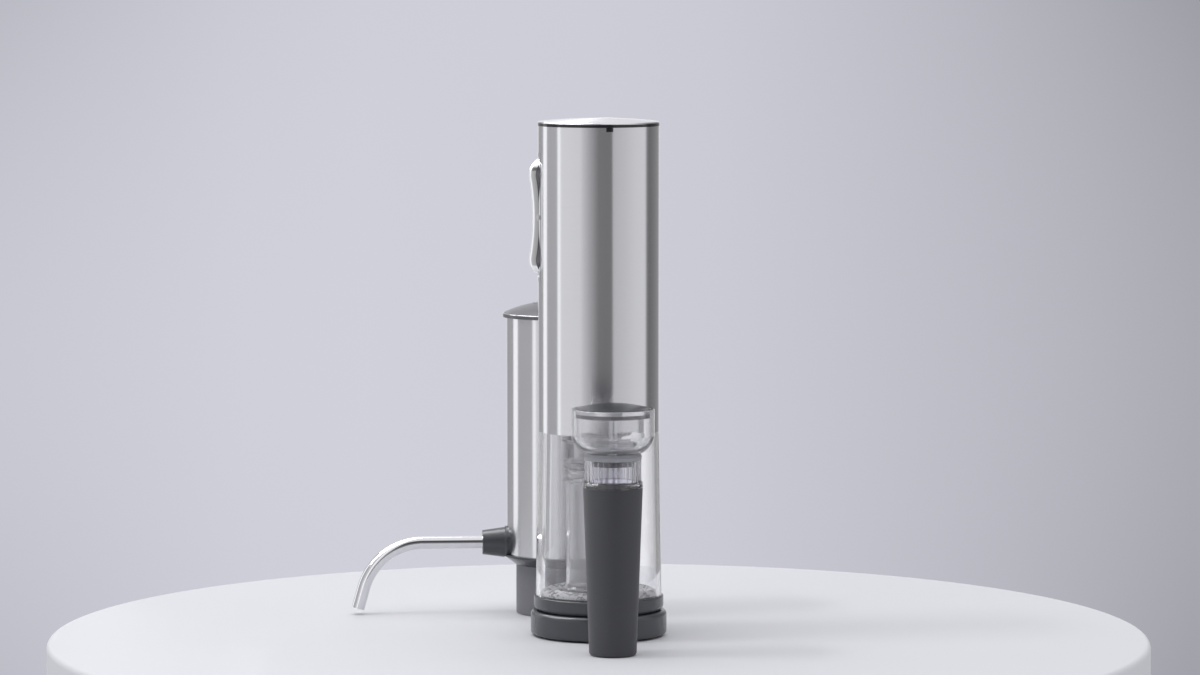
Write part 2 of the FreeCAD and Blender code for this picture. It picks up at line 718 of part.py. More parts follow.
def gear_outline(teeth, module, tip, root, slack, start):
    """The closed outline of a spur gear with involute flanks, slack narrower at the pitch line."""
    pitch = module * teeth / 2
    pressure = math.radians(PRESSURE_ANGLE)
    base = pitch * math.cos(pressure)
    points = []
    for tooth in range(teeth):
        middle = math.radians(start) + 2 * math.pi * tooth / teeth
        flank = []
        for share in FLANK_STEPS:
            radius = max(root, base) + (tip - max(root, base)) * share
            half = (math.pi / (2 * teeth) - slack / (2 * pitch) + involute(pressure)
                    - involute(math.acos(min(base / radius, 1.0))))
            flank.append((radius, half))
        if root < base:
            flank.insert(0, (root, flank[0][1]))
        points += [(radius, middle - half) for radius, half in flank]
        points += [(radius, middle + half) for radius, half in reversed(flank)]
    corners = [vector(radius * math.cos(turn), radius * math.sin(turn)) for radius, turn in points]
    return Part.makePolygon(corners + corners[:1])


def gear_solid(teeth, low, high, start, slack, bore=0.0, depths=(ADDENDUM, DEDENDUM)):
    """A spur gear, or the cutter for a ring gear. depths are the heights of its teeth above and
    below the pitch line, in modules."""
    module = d.gear_module.value
    pitch = module * teeth / 2
    outline = gear_outline(teeth, module, pitch + depths[0] * module, pitch - depths[1] * module,
                           slack, start)
    solid = Part.Face(outline).extrude(vector(z=high.value - low.value))
    solid.translate(vector(z=low.value))
    if bore:
        hole = Part.makeCylinder(bore, high.value - low.value + 2 * PAST,
                                vector(z=low.value - PAST))
        solid = solid.cut(hole)
    return solid


planet_circle = d.gear_module * (d.sun_teeth + d.planet_teeth) / 2
ring_teeth = int(d.sun_teeth.value + 2 * d.planet_teeth.value)


def ring_gear():
    blank = Part.makeCylinder(d.ring_gear_radius.value, (cover_low - gear_low).value,
                              vector(z=gear_low.value))
    cutter = gear_solid(ring_teeth, gear_low - PAST, cover_low + PAST, 180.0 / ring_teeth,
                        -d.gear_backlash.value, depths=(DEDENDUM, ADDENDUM))
    return feature("ring_gear", blank.cut(cutter))


def sun_pinion():
    gear = gear_solid(int(d.sun_teeth.value), planet_low, planet_high, 0.0, d.gear_backlash.value)
    shaft_top = pocket_top + d.motor_height / 3
    shaft = Part.makeCylinder(d.motor_shaft.value, (shaft_top - planet_low).value,
                              vector(z=planet_low.value))
    return feature("sun_pinion", gear.fuse(shaft).removeSplitter())


def planet_gear(number):
    teeth = int(d.planet_teeth.value)
    shape = gear_solid(teeth, planet_low, planet_high, 180.0 / teeth, d.gear_backlash.value,
                       bore=(d.planet_pin + d.running_fit).value)
    shape.translate(vector(planet_circle.value))
    shape.rotate(vector(), vector(z=1), 360.0 * number / PLANETS)
    return feature(f"planet_gear_{number + 1}", shape)


def planet_carrier():
    plate_low = gear_low + d.moving_gap
    shaft = cylinder("drive shaft", d.drive_shaft, worm_top, plate_low + d.carrier_thick)
    plate = cylinder("carrier plate", d.carrier_radius, plate_low, plate_low + d.carrier_thick)
    pins = []
    for number in range(PLANETS):
        x, y = around(planet_circle, PLANETS, number)
        pins.append(cylinder(f"planet pin {number}", d.planet_pin, plate_low,
                             planet_high + d.moving_gap, x, y))
    return fuse("planet_carrier", shaft, plate, *pins)


def shaft_bush():
    return lathe("shaft_bush", [
        (d.drive_shaft + d.running_fit, gear_low - d.bush_height),
        (d.bush_radius, gear_low - d.bush_height),
        (d.bush_radius, gear_low),
        (d.drive_shaft + d.running_fit, gear_low),
    ])


worm_top = shell_top - d.bush_height


def worm():
    """The spiral: a round wire on a helix under a collar, drawn out to a point at its foot."""
    height = d.worm_pitch.value * d.worm_turns.value
    foot = worm_top.value - d.worm_collar_height.value + d.worm_wire.value - height
    path = Part.makeHelix(d.worm_pitch.value, height, d.worm_coil.value)
    start = vector(d.worm_coil.value)
    rise = d.worm_pitch.value / (2 * math.pi)
    heading = vector(0, d.worm_coil.value, rise)
    heading.normalize()
    ring = Part.Wire([Part.makeCircle(d.worm_wire.value, start, heading)])
    coil = Part.Wire(path.Edges).makePipeShell([ring], True, True)
    tip = Part.makeCone(d.worm_wire.value, WORM_POINT, d.worm_tip.value, start, heading * -1)
    collar = Part.makeCylinder(d.worm_collar.value, d.worm_collar_height.value,
                               vector(z=height - d.worm_wire.value))
    spiral = collar.multiFuse([coil, tip], FUSE_TOLERANCE)
    spiral.translate(vector(z=foot))
    return feature("worm", spiral)


def opener_motor():
    can = cylinder("motor can", d.motor_radius, pocket_top, motor_top)
    bell = cylinder("motor bell", d.motor_bell, pocket_top, motor_top + d.motor_bell_height)
    hole = cylinder("motor shaft hole", d.motor_shaft + d.running_fit, pocket_top - PAST,
                    pocket_top + d.motor_height / 2)
    return cut("opener_motor", fuse("motor solid", can, bell), hole)


spine_out = d.cell_x - d.cell_radius - d.holder_spine


def battery_cells():
    return group("battery_cells", [
        cylinder(f"opener cell {side}", d.cell_radius, cell_low, cell_high, d.cell_x,
                 side * d.cell_spread) for side in (-1, 1)])


def cell_holder():
    half = d.holder_wide / 2
    reach = chassis_inner - d.holder_gap
    xs = (spine_out, (reach * reach - half * half).root())
    ys = (-half, half)
    floor = box("holder floor", xs, ys, (cell_low - d.cell_cap, cell_low))
    head = box("holder head", xs, ys, (cell_high, cell_high + d.cell_cap))
    spine = box("holder spine", (spine_out, spine_out + d.holder_spine), ys,
                (cell_low - d.cell_cap, cell_high + d.cell_cap))
    return fuse("cell_holder", floor, head, spine)


def control_board():
    low = rocker_z - d.control_board_tall / 2
    return box("control_board", (spine_out - d.board_thick, spine_out),
               (-d.control_board_wide / 2, d.control_board_wide / 2), (low, low + d.control_board_tall))


def rocker_switches():
    face = spine_out - d.board_thick
    half = d.switch_side / 2
    return group("rocker_switches", [
        box(f"rocker switch {side}", (face - d.switch_deep, face), (-half, half),
            (rocker_z + side * d.switch_spread - half, rocker_z + side * d.switch_spread + half))
        for side in (-1, 1)])


window_half_wide = d.rocker_wide / 2 + d.moving_gap + d.bezel_rim
window_half_tall = d.rocker_half + d.moving_gap + d.bezel_rim


def rocker_bezel():
    """A frame in the tube's window, curved with the tube, that carries the rocker's pin."""
    outer = d.tube_radius + d.bezel_proud
    low = rocker_z - window_half_tall
    high = rocker_z + window_half_tall
    block = box("bezel block", (outer - d.bezel_depth, outer), (-window_half_wide, window_half_wide),
                (low, high))
    bound = cylinder("bezel bound", outer, low, high)
    hole = box("bezel hole", (0, outer + PAST),
               (d.bezel_rim - window_half_wide, window_half_wide - d.bezel_rim),
               (low + d.bezel_rim, high - d.bezel_rim))
    bore = lying_cylinder("bezel pin bore", "Y", d.rocker_pin, -window_half_wide, window_half_wide,
                          rocker_pin_out, rocker_z)
    return cut("rocker_bezel", common("bezel curved", block, bound), hole, bore)


def rocker_button():
    """Two raised lobes with a waist between them, and a leg behind each lobe for its switch."""
    half = d.rocker_wide / 2
    end = d.rocker_half
    lobe = d.rocker_lobe_half
    profile = prism("rocker profile", "XZ_Plane", [
        (rocker_inner, rocker_z - end),
        (rocker_edge, rocker_z - end),
        (rocker_lobe, rocker_z - lobe, d.rocker_end_arc, LEFT),
        (rocker_lobe, rocker_z + lobe, d.rocker_waist_arc, RIGHT),
        (rocker_edge, rocker_z + end, d.rocker_end_arc, LEFT),
        (rocker_inner, rocker_z + end),
    ], -half, half)
    legs = [box(f"rocker leg {side}", (rocker_inner - d.rocker_leg_reach, rocker_inner + PAST),
                (-d.rocker_leg / 2, d.rocker_leg / 2),
                (rocker_z + side * d.switch_spread - d.rocker_leg / 2,
                 rocker_z + side * d.switch_spread + d.rocker_leg / 2)) for side in (-1, 1)]
    bore = lying_cylinder("rocker pin bore", "Y", d.rocker_pin + d.running_fit, -half - PAST, half + PAST,
                          rocker_pin_out, rocker_z)
    return cut("rocker_button", fuse("rocker solid", profile, *legs), bore)


def rocker_pin():
    reach = window_half_wide - d.moving_gap
    return lying_cylinder("rocker_pin", "Y", d.rocker_pin, -reach, reach, rocker_pin_out,
                          rocker_z)


def make_opener():
    for piece in (clear_shell, bottle_guide, outer_tube, top_ring, top_cap, ring_gear,
                  sun_pinion, planet_carrier, shaft_bush, worm, opener_motor, battery_cells,
                  cell_holder, control_board, rocker_switches):
        keep(piece())
    keep(chassis_half("chassis_front", -1))
    keep(chassis_half("chassis_back", 1))
    for number in range(PLANETS):
        keep(planet_gear(number))
    keep_side(rocker_bezel())
    keep_side(rocker_button())
    keep_side(rocker_pin())


# ------------------------------------------------------------------------------ pump dispenser
can_top = d.can_low + d.can_height
can_inner = d.can_radius - d.can_wall
collar_low = d.can_low - d.collar_tall
lid_dome_foot = can_top + d.lid_band + d.lid_shoulder
lid_dome_radius = d.lid_radius - d.lid_shoulder_inset
lid_centre = lid_dome_foot - (d.lid_dome * d.lid_dome - lid_dome_radius * lid_dome_radius).root()
lid_top = lid_centre + d.lid_dome


def dome_height(radius):
    """The height of the lid's dome at a distance from its axis."""
    radius = Size.of(radius)
    return lid_centre + (d.lid_dome * d.lid_dome - radius * radius).root()


def dispenser_can():
    blank = lathe("can blank", [
        (can_inner, d.can_low),
        (d.can_radius, d.can_low),
        (d.can_radius, can_top),
        (can_inner, can_top),
    ])
    hole = lying_cylinder("can spout hole", "X", d.boss_shank + d.seat_fit, 0, d.can_radius + PAST,
                          0.0, d.spout_z)
    return cut("dispenser_can", blank, hole)


def dispenser_lid():
    skirt = can_inner - d.face_gap
    hole = d.press_radius + d.moving_gap
    inner_dome = d.lid_dome - d.lid_wall
    under = lid_centre + (inner_dome * inner_dome - hole * hole).root()
    return lathe("dispenser_lid", [
        (skirt, can_top - d.lid_skirt),
        (skirt, can_top),
        (d.lid_radius, can_top),
        (d.lid_radius, can_top + d.lid_band),
        (lid_dome_radius, lid_dome_foot, d.lid_shoulder * SOFT_CORNER, LEFT),
        (hole, dome_height(hole), d.lid_dome, LEFT),
        (hole, under),
        (skirt - d.lid_wall, can_top + d.lid_band),
        (skirt - d.lid_wall, can_top - d.lid_skirt),
    ])


press_under = dome_height(d.press_radius) - d.press_edge


def dispenser_button():
    """The round middle of the lid: its dome goes on with the lid's, and a flange under the lid
    keeps it in."""
    flange = d.press_radius + d.press_flange
    return lathe("dispenser_button", [
        (0, press_under - d.press_stem_reach),
        (d.press_stem, press_under - d.press_stem_reach),
        (d.press_stem, press_under + d.press_wall),
        (d.press_radius - d.press_wall, press_under + d.press_wall),
        (d.press_radius - d.press_wall, press_under - d.press_wall),
        (flange, press_under - d.press_wall),
        (flange, press_under - d.moving_gap / 2),
        (d.press_radius, press_under - d.moving_gap / 2),
        (d.press_radius, dome_height(d.press_radius)),
        (0, lid_top, d.lid_dome, LEFT),
    ])


frame_top = d.frame_low + d.frame_plate + d.pump_tall + d.small_motor_height + d.frame_plate + d.aa_height
motor_low = d.frame_low + d.frame_plate + d.pump_tall
cell_plate = motor_low + d.small_motor_height
dispenser_board_low = frame_top + d.frame_plate


def coil_shape(radius, wire, low, high, turns):
    """A coil spring between two heights. Each half turn is a piece of a tilted ring, so that it
    runs into the next one smoothly."""
    halves = round(2 * turns)
    rise = (high - low - 2 * wire) / halves
    ring = Part.Face(Part.Wire([Part.makeCircle(wire, vector(radius), vector(y=1))]))
    half = ring.revolve(vector(z=rise / 2), vector(rise / 2, 0, radius), 180)
    pieces = []
    for number in range(halves):
        piece = half.copy()
        piece.rotate(vector(), vector(z=1), 180.0 * number)
        piece.translate(vector(z=low + wire + rise * number))
        pieces.append(piece)
    return pieces[0].multiFuse(pieces[1:], FUSE_TOLERANCE)


def button_spring():
    low = dispenser_board_low + d.board_thick
    high = press_under + d.press_wall
    return feature("button_spring", coil_shape(d.spring_radius.value, d.spring_wire.value, low.value,
                                               high.value, d.spring_turns.value))


def dispenser_collar():
    """The dark rimmed cone under the can, with a spigot into the can and holes for two pipes."""
    spigot = can_inner - d.face_gap
    blank = lathe("collar blank", [
        (d.wine_pipe + d.seat_fit, collar_low),
        (d.collar_foot, collar_low),
        (d.collar_rim, d.can_low - d.collar_rim_tall),
        (d.collar_rim, d.can_low),
        (spigot, d.can_low),
        (spigot, d.can_low + d.collar_spigot),
        (spigot - d.lid_wall, d.can_low + d.collar_spigot),
        (spigot - d.lid_wall, d.can_low),
        (d.wine_pipe + d.seat_fit, d.can_low),
    ])
    air = cylinder("collar air hole", d.air_bore, collar_low - PAST, d.can_low + PAST,
                   -d.air_offset)
    spout = lying_cylinder("collar spout relief", "X", d.boss_shank + d.seat_fit, 0,
                           d.can_radius + PAST, 0.0, d.spout_z)
    return cut("dispenser_collar", blank, air, spout)


def bottle_socket():
    """The soft cup that sits on the bottle's mouth."""
    blank = lathe("socket blank", [
        (d.socket_bore + d.socket_flare, 0),
        (d.socket_radius - d.socket_round, 0),
        (d.socket_radius, d.socket_round, d.socket_round, LEFT),
        (d.socket_radius, collar_low),
        (d.wine_pipe + d.seat_fit, collar_low),
        (d.wine_pipe + d.seat_fit, d.socket_depth),
        (d.socket_bore, d.socket_depth),
        (d.socket_bore, d.socket_flare),
    ])
    air = cylinder("socket air hole", d.air_bore, d.socket_depth - PAST, collar_low + PAST,
                   -d.air_offset)
    return cut("bottle_socket", blank, air)


def wine_block():
    """The pipe block: a nipple down through the socket's roof, and an outlet to the spout."""
    low = d.can_low
    high = low + d.block_height
    shank_in = d.can_radius - d.boss_shank_in
    block = cylinder("wine block body", d.block_radius, low, high)
    nipple = cylinder("wine nipple", d.wine_pipe, d.socket_depth, low + PAST)
    outlet = lying_cylinder("wine outlet", "X", d.boss_shank, 0, shank_in, 0.0, d.spout_z)
    rise = cylinder("wine rise", d.wine_bore, d.socket_depth - PAST, d.spout_z)
    run = lying_cylinder("wine run", "X", d.wine_bore, -d.wine_bore * 1.5, shank_in + PAST, 0.0,
                         d.spout_z)
    return cut("wine_block", fuse("wine block solid", block, nipple, outlet), rise, run)


def spout_boss():
    """A cone that stands out from the can, with a shank through the can's wall."""
    shank_in = d.can_radius - d.boss_shank_in
    bore = d.spout_radius + d.running_fit
    # the cone's outline runs along Z and is laid along X
    cone = lathe("boss cone", [
        (0, d.spout_root - d.boss_buried),
        (d.boss_root + d.boss_lip, d.spout_root - d.boss_buried),
        (d.boss_root + d.boss_lip, d.spout_root),
        (d.boss_root, d.spout_root + d.boss_lip),
        (d.boss_tip, d.boss_reach),
        (0, d.boss_reach),
    ])
    cone.Placement = FreeCAD.Placement(vector(), FreeCAD.Rotation(vector(0, 1, 0), 90))
    bind(cone, "Placement.Base.z", d.spout_z)
    wall = cylinder("boss wall", d.can_radius, 0, can_top)
    rim = cylinder("boss rim room", d.collar_rim + d.face_gap, 0, d.can_low)
    shank = lying_cylinder("boss shank", "X", d.boss_shank, shank_in, d.boss_reach - PAST, 0.0,
                           d.spout_z)
    hole = lying_cylinder("boss bore", "X", bore, d.spout_root, d.boss_reach + PAST, 0.0, d.spout_z)
    duct = lying_cylinder("boss duct", "X", d.wine_bore, 0, d.boss_reach, 0.0, d.spout_z)
    solid = fuse("boss solid", cut("boss cone outside", cone, wall, rim), shank)
    return cut("spout_boss", solid, hole, duct)


def spout():
    """The bent pipe: a straight run from the boss, one bend and a straight drop."""
    body = new_body("spout")
    path = new_sketch(body, "path", "XZ_Plane")
    turn = math.radians(d.spout_angle.value)
    start = vector(d.spout_root.value, d.spout_z.value)
    bend = start + vector(d.spout_run.value)
    centre = bend - vector(0, d.spout_bend.value)
    along = [centre + vector(math.sin(angle), math.cos(angle)) * d.spout_bend.value
             for angle in (turn / 2, turn)]
    end = along[1] + vector(math.cos(turn), -math.sin(turn)) * d.spout_drop.value
    path.addGeometry(Part.LineSegment(start, bend), False)
    path.addGeometry(Part.Arc(bend, along[0], along[1]), False)
    path.addGeometry(Part.LineSegment(along[1], end), False)
    pin_point(path, 0, 1, d.spout_root, d.spout_z)
    path.addConstraint(Sketcher.Constraint("Horizontal", 0))
    path.addConstraint(Sketcher.Constraint("Tangent", 0, 2, 1, 2))
    path.addConstraint(Sketcher.Constraint("Tangent", 1, 1, 2, 1))
    rows = [("Distance", 0, d.spout_run, ""), ("Radius", 1, d.spout_bend, ""),
            ("Distance", 2, d.spout_drop, ""), ("Angle", 2, -d.spout_angle, " * 1 deg")]
    for kind, edge, size, unit in rows:
        value = math.radians(size.value) if unit else size.value
        row = path.addConstraint(Sketcher.Constraint(kind, edge, value))
        path.setExpression(f"Constraints[{row}]", size.text + unit)
    section = new_sketch(body, "section", "YZ_Plane", d.spout_root)
    for radius in (d.spout_radius, d.spout_radius - d.spout_wall):
        circle = Part.Circle(vector(0, d.spout_z.value), vector(z=1), radius.value)
        edge = section.addGeometry(circle, False)
        pin_point(section, edge, 3, Size.of(0.0), d.spout_z)
        row = section.addConstraint(Sketcher.Constraint("Radius", edge, radius.value))
        section.setExpression(f"Constraints[{row}]", radius.text)
    pipe = body.newObject("PartDesign::AdditivePipe", "pipe")
    pipe.Profile = section
    pipe.Spine = (path, ["Edge1", "Edge2", "Edge3"])
    return body


def dispenser_frame():
    """The inner frame: a floor, a shelf and a head joined by two curved side walls."""
    outer = can_inner - d.face_gap
    inner = outer - d.frame_wall
    floor_top = d.frame_low + d.frame_plate
    blank = lathe("frame blank", [
        (0, d.frame_low),
        (outer, d.frame_low),
        (outer, dispenser_board_low),
        (0, dispenser_board_low),
        (0, frame_top),
        (inner, frame_top),
        (inner, cell_plate + d.frame_plate),
        (0, cell_plate + d.frame_plate),
        (0, cell_plate),
        (inner, cell_plate),
        (inner, floor_top),
        (0, floor_top),
    ])
    half = d.frame_window / 2
    lower = box("frame lower window", (-can_inner, can_inner), (-half, half), (floor_top, cell_plate))
    upper = box("frame upper window", (-can_inner, can_inner), (-half, half),
                (cell_plate + d.frame_plate, frame_top))
    hose = cylinder("frame hose hole", d.air_radius + d.face_gap, d.frame_low - PAST, floor_top + PAST,
                    -d.air_offset)
    return cut("dispenser_frame", blank, lower, upper, hose)


def air_hose():
    return lathe_at("air_hose", -d.air_offset, [
        (d.air_bore, d.can_low),
        (d.air_radius, d.can_low),
        (d.air_radius, d.frame_low + d.frame_plate),
        (d.air_bore, d.frame_low + d.frame_plate),
    ])


def lathe_at(label, x, outline):
    """A turned piece whose own axis stands beside the tool's."""
    turned = lathe(f"{label} turned", outline)
    bind(turned, "Placement.Base.x", x)
    return group(label, [turned])


def pump_head():
    low = d.frame_low + d.frame_plate
    half = d.pump_side / 2
    block = box("pump block", (-half, half), (-half, half), (low, motor_low))
    bore = cylinder("pump bore", d.pump_bore, low + d.frame_plate, motor_low + PAST)
    link_z = low + d.pump_tall / 2
    port = cylinder("pump port", d.air_bore, low - PAST, link_z, -d.air_offset)
    link = lying_cylinder("pump link", "X", d.air_bore / 2, -d.air_offset, 0, 0.0, link_z - d.air_bore)
    return cut("pump_head", block, bore, port, link)


def pump_crank():
    low = d.frame_low + 2 * d.frame_plate + d.moving_gap
    disc = cylinder("crank disc", d.crank_radius, low, low + d.crank_thick, d.crank_throw)
    shaft = cylinder("crank shaft", d.crank_shaft, low, motor_low + d.small_motor_height / 3)
    return fuse("pump_crank", disc, shaft)


def dispenser_motor():
    can = cylinder("small motor can", d.small_motor, motor_low, cell_plate)
    hole = cylinder("small motor hole", d.crank_shaft + d.running_fit, motor_low - PAST,
                    motor_low + d.small_motor_height / 2)
    return cut("dispenser_motor", can, hole)


def dispenser_cells():
    low = cell_plate + d.frame_plate
    return group("dispenser_cells", [
        cylinder(f"dispenser cell {side}", d.aa_radius, low, low + d.aa_height, 0.0, side * d.aa_spread)
        for side in (-1, 1)])


def dispenser_board():
    """The round board on the frame's head, with the push switch in its middle."""
    low = dispenser_board_low
    disc = cylinder("dispenser board disc", can_inner - d.lid_wall - 4 * d.face_gap, low,
                    low + d.board_thick)
    switch = cylinder("push switch", d.switch_base, low, low + d.board_thick + d.switch_rise)
    return fuse("dispenser_board", disc, switch)


def make_dispenser():
    for piece in (dispenser_can, dispenser_lid, dispenser_button, button_spring,
                  dispenser_collar, bottle_socket, wine_block, spout_boss, spout, dispenser_frame,
                  air_hose, pump_head, pump_crank, dispenser_motor, dispenser_cells, dispenser_board):
        keep_dispenser(piece())


# ------------------------------------------------------------------------------ vacuum stopper
ledge_top = d.sleeve_height + d.ledge_tall
barrel_top = d.sleeve_height + d.barrel_tall
bowl_low = barrel_top + d.seal_ring_tall
bowl_top = bowl_low + d.bowl_tall
dome_seat = bowl_top - d.dome_sink
piston_low = barrel_top - d.piston_drop
rod_foot_low = d.stem_floor + d.spring_length
rod_foot_top = rod_foot_low + d.rod_foot_thick
flange_low = dome_seat - d.flange_tall


def stopper_sleeve():
    """The soft sleeve. Its top has a narrow raised seat for the barrel's ledge."""
    stem = d.stem_radius + d.seat_fit
    return lathe("stopper_sleeve", [
        (d.sleeve_port, 0),
        (d.sleeve_foot - d.sleeve_round, 0),
        (d.sleeve_foot, d.sleeve_round, d.sleeve_round, LEFT),
        (d.sleeve_top, d.sleeve_height - d.face_gap),
        (stem + d.seat_lip, d.sleeve_height - d.face_gap),
        (stem + d.seat_lip, d.sleeve_height),
        (stem, d.sleeve_height),
        (stem, d.sleeve_floor),
        (d.sleeve_port, d.sleeve_floor),
    ])


def stopper_barrel():
    """The clear barrel: a stem in the sleeve, a ledge on it and a ribbed cylinder."""
    shelf = d.sleeve_height - d.ledge_tall
    blank = lathe("barrel blank", [
        (d.stem_bore, d.sleeve_floor),
        (d.stem_radius, d.sleeve_floor),
        (d.stem_radius, d.sleeve_height),
        (d.ledge_radius, d.sleeve_height),
        (d.ledge_radius, ledge_top - d.rib_depth),
        (d.ledge_radius - d.rib_depth, ledge_top),
        (d.barrel_radius, ledge_top),
        (d.barrel_radius, barrel_top),
        (d.barrel_bore, barrel_top),
        (d.barrel_bore, ledge_top),
        (d.stem_bore, shelf),
        (d.stem_bore, d.stem_floor),
        (d.sleeve_port, d.stem_floor),
        (d.sleeve_port, d.stem_floor - d.stem_floor_thick),
        (d.stem_bore, d.stem_floor - d.stem_floor_thick),
    ])
    grooves = []
    for number in range(STOPPER_RIBS):
        x, y = around(d.barrel_radius + d.rib_depth / 2, STOPPER_RIBS, number)
        grooves.append(cylinder(f"rib groove {number}", d.rib_depth, ledge_top,
                                barrel_top - d.rib_gap, x, y))
    return cut("stopper_barrel", blank, *grooves)


def seal_ring():
    """The soft ring between the barrel and the bowl."""
    return lathe("seal_ring", [
        (d.barrel_bore, barrel_top),
        (d.barrel_radius, barrel_top),
        (d.seal_ring_radius, barrel_top + d.seal_ring_tall / 2),
        (d.bowl_foot - d.rib_depth, bowl_low - d.face_gap),
        (d.barrel_bore + d.seat_lip, bowl_low - d.face_gap),
        (d.barrel_bore + d.seat_lip, bowl_low),
        (d.barrel_bore, bowl_low),
    ])


def stopper_bowl():
    """The clear bowl: a floor with a hole for the rod, a curved foot and a straight rim."""
    inner = d.bowl_radius - d.bowl_wall
    floor_top = bowl_low + d.bowl_floor
    curve_top = bowl_low + d.bowl_curve_rise
    return lathe("stopper_bowl", [
        (d.rod_radius + d.moving_gap, bowl_low),
        (d.bowl_foot, bowl_low),
        (d.bowl_radius, curve_top, d.bowl_curve, LEFT),
        (d.bowl_radius, bowl_top - d.rib_depth),
        (d.bowl_radius - d.rib_depth, bowl_top, d.rib_depth, LEFT),
        (inner, bowl_top),
        (inner, curve_top),
        (d.bowl_foot - d.bowl_wall, floor_top, d.bowl_curve - d.bowl_wall, RIGHT),
        (d.rod_radius + d.moving_gap, floor_top),
    ])


def pump_rod():
    """The clear rod: a foot on the spring, the piston, and the disc that carries the cap."""
    piston_top = piston_low + d.piston_thick
    return lathe("pump_rod", [
        (0, rod_foot_low),
        (d.rod_foot, rod_foot_low),
        (d.rod_foot, rod_foot_top),
        (d.rod_radius, rod_foot_top),
        (d.rod_radius, piston_low),
        (d.piston_radius, piston_low),
        (d.piston_radius, piston_top),
        (d.rod_radius, piston_top),
        (d.rod_radius, flange_low),
        (d.flange_radius, flange_low),
        (d.flange_radius, dome_seat),
        (0, dome_seat),
    ])


def piston_seal():
    return lathe("piston_seal", [
        (d.piston_radius, piston_low),
        (d.piston_seal, piston_low),
        (d.piston_seal, piston_low + d.piston_thick),
        (d.piston_radius, piston_low + d.piston_thick),
    ])


def return_spring():
    return feature("return_spring", coil_shape(d.coil_radius.value, d.coil_wire.value, d.stem_floor.value,
                                               rod_foot_low.value, d.coil_turns.value))


def stopper_cap():
    """The dark dome that is pushed to pump."""
    edge_top = dome_seat + d.dome_edge
    curve = (d.dome_radius * d.dome_radius + d.dome_rise * d.dome_rise) / (2 * d.dome_rise)
    return lathe("stopper_cap", [
        (0, dome_seat),
        (d.dome_radius, dome_seat),
        (d.dome_radius, edge_top),
        (0, edge_top + d.dome_rise, curve, LEFT),
    ])


def cap_gasket():
    low = flange_low - d.gasket_tall
    return lathe("cap_gasket", [
        (d.gasket_radius - d.gasket_wide, low),
        (d.gasket_radius, low),
        (d.gasket_radius, flange_low),
        (d.gasket_radius - d.gasket_wide, flange_low),
    ])


def make_stopper():
    for piece in (stopper_sleeve, stopper_barrel, seal_ring, stopper_bowl, pump_rod, piston_seal,
                  return_spring, stopper_cap, cap_gasket):
        keep_stopper(piece())


def check_document():
    """Stop if any object failed, before anything is written."""
    failed = [item.Label for item in doc.Objects
              if "Invalid" in item.State or "Error" in item.State]
    for item in nodes:
        if item.Shape.isNull() or not item.Shape.isValid() or not item.Shape.Solids:
            failed.append(f"shape of {item.Label}")
    if failed:
        raise RuntimeError("these objects failed: " + ", ".join(failed))


def write_parts():
    os.makedirs("parts", exist_ok=True)
    for item in nodes:
        item.Shape.exportStep(f"parts/{item.Label}.step")


make_base()
make_cutter()
make_opener()
make_dispenser()
make_stopper()
doc.recompute()
check_document()
write_parts()
print(len(nodes), "nodes written")
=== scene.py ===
import math

import bpy
from bpy.props import FloatProperty, FloatVectorProperty, IntProperty, PointerProperty
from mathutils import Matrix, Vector


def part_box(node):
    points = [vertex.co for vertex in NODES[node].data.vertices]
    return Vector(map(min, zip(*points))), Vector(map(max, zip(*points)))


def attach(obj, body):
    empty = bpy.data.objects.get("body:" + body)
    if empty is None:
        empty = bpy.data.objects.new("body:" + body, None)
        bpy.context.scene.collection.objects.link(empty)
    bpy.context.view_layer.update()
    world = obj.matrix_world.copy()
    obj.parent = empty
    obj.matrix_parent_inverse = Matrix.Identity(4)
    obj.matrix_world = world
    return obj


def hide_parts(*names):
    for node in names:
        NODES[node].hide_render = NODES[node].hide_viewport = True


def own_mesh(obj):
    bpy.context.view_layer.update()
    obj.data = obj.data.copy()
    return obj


bl_info = {
    "name": "Wine Tool Set",
    "version": (1, 0, 0),
    "blender": (4, 5, 0),
    "location": "View3D > Sidebar > Wine Tools",
    "description": "Finishes a bottle opener, a pump dispenser and a vacuum stopper, and "
                   "sets their stage",
    "category": "Object",
}

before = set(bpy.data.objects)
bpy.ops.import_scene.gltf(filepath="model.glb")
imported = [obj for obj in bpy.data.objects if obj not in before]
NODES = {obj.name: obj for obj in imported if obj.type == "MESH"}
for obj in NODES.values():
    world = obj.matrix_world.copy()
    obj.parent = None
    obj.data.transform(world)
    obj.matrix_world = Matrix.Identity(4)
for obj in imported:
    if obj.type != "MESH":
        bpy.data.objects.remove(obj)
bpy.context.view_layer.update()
MM = 0.001

# How finely the pieces are cut: the sides of a full circle, the slices of the rocker's straight
# part, the steps of a coil for each turn, and the steps of the rocker's rounded edge.
RING_SIDES = 192
BOSS_SIDES = 64
TABLE_SIDES = 256
WIRE_SIDES = 12
ROCKER_SIDES = 40
ROCKER_SLICES = 26
COIL_STEPS = 36
ROUND_STEPS = 5
# Points nearer to each other than this become one: in a ring or a cut, and in a closed solid.
WELD = 0.001 * MM
SOLID_WELD = 0.002 * MM
# Points of the rocker whose heights differ by no more than this move as one level.
SAME_LEVEL = 0.008 * MM
# Points that are this near to the rocker's middle, or to the flat foot of its core, belong to it.
NEAR_MIDDLE = 0.01 * MM
NEAR_FOOT = 0.1 * MM
# Faces that meet at less than this are shaded as one.
SMOOTH_ANGLE = math.radians(40.0)
TABLE_SMOOTH_ANGLE = math.radians(30.0)


def middle(node):
    """The centre of a frame node."""
    low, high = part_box(node)
    return (low + high) / 2


OPENER = middle("outer_tube")
DISPENSER = middle("dispenser_can")
STOPPER = middle("stopper_sleeve")


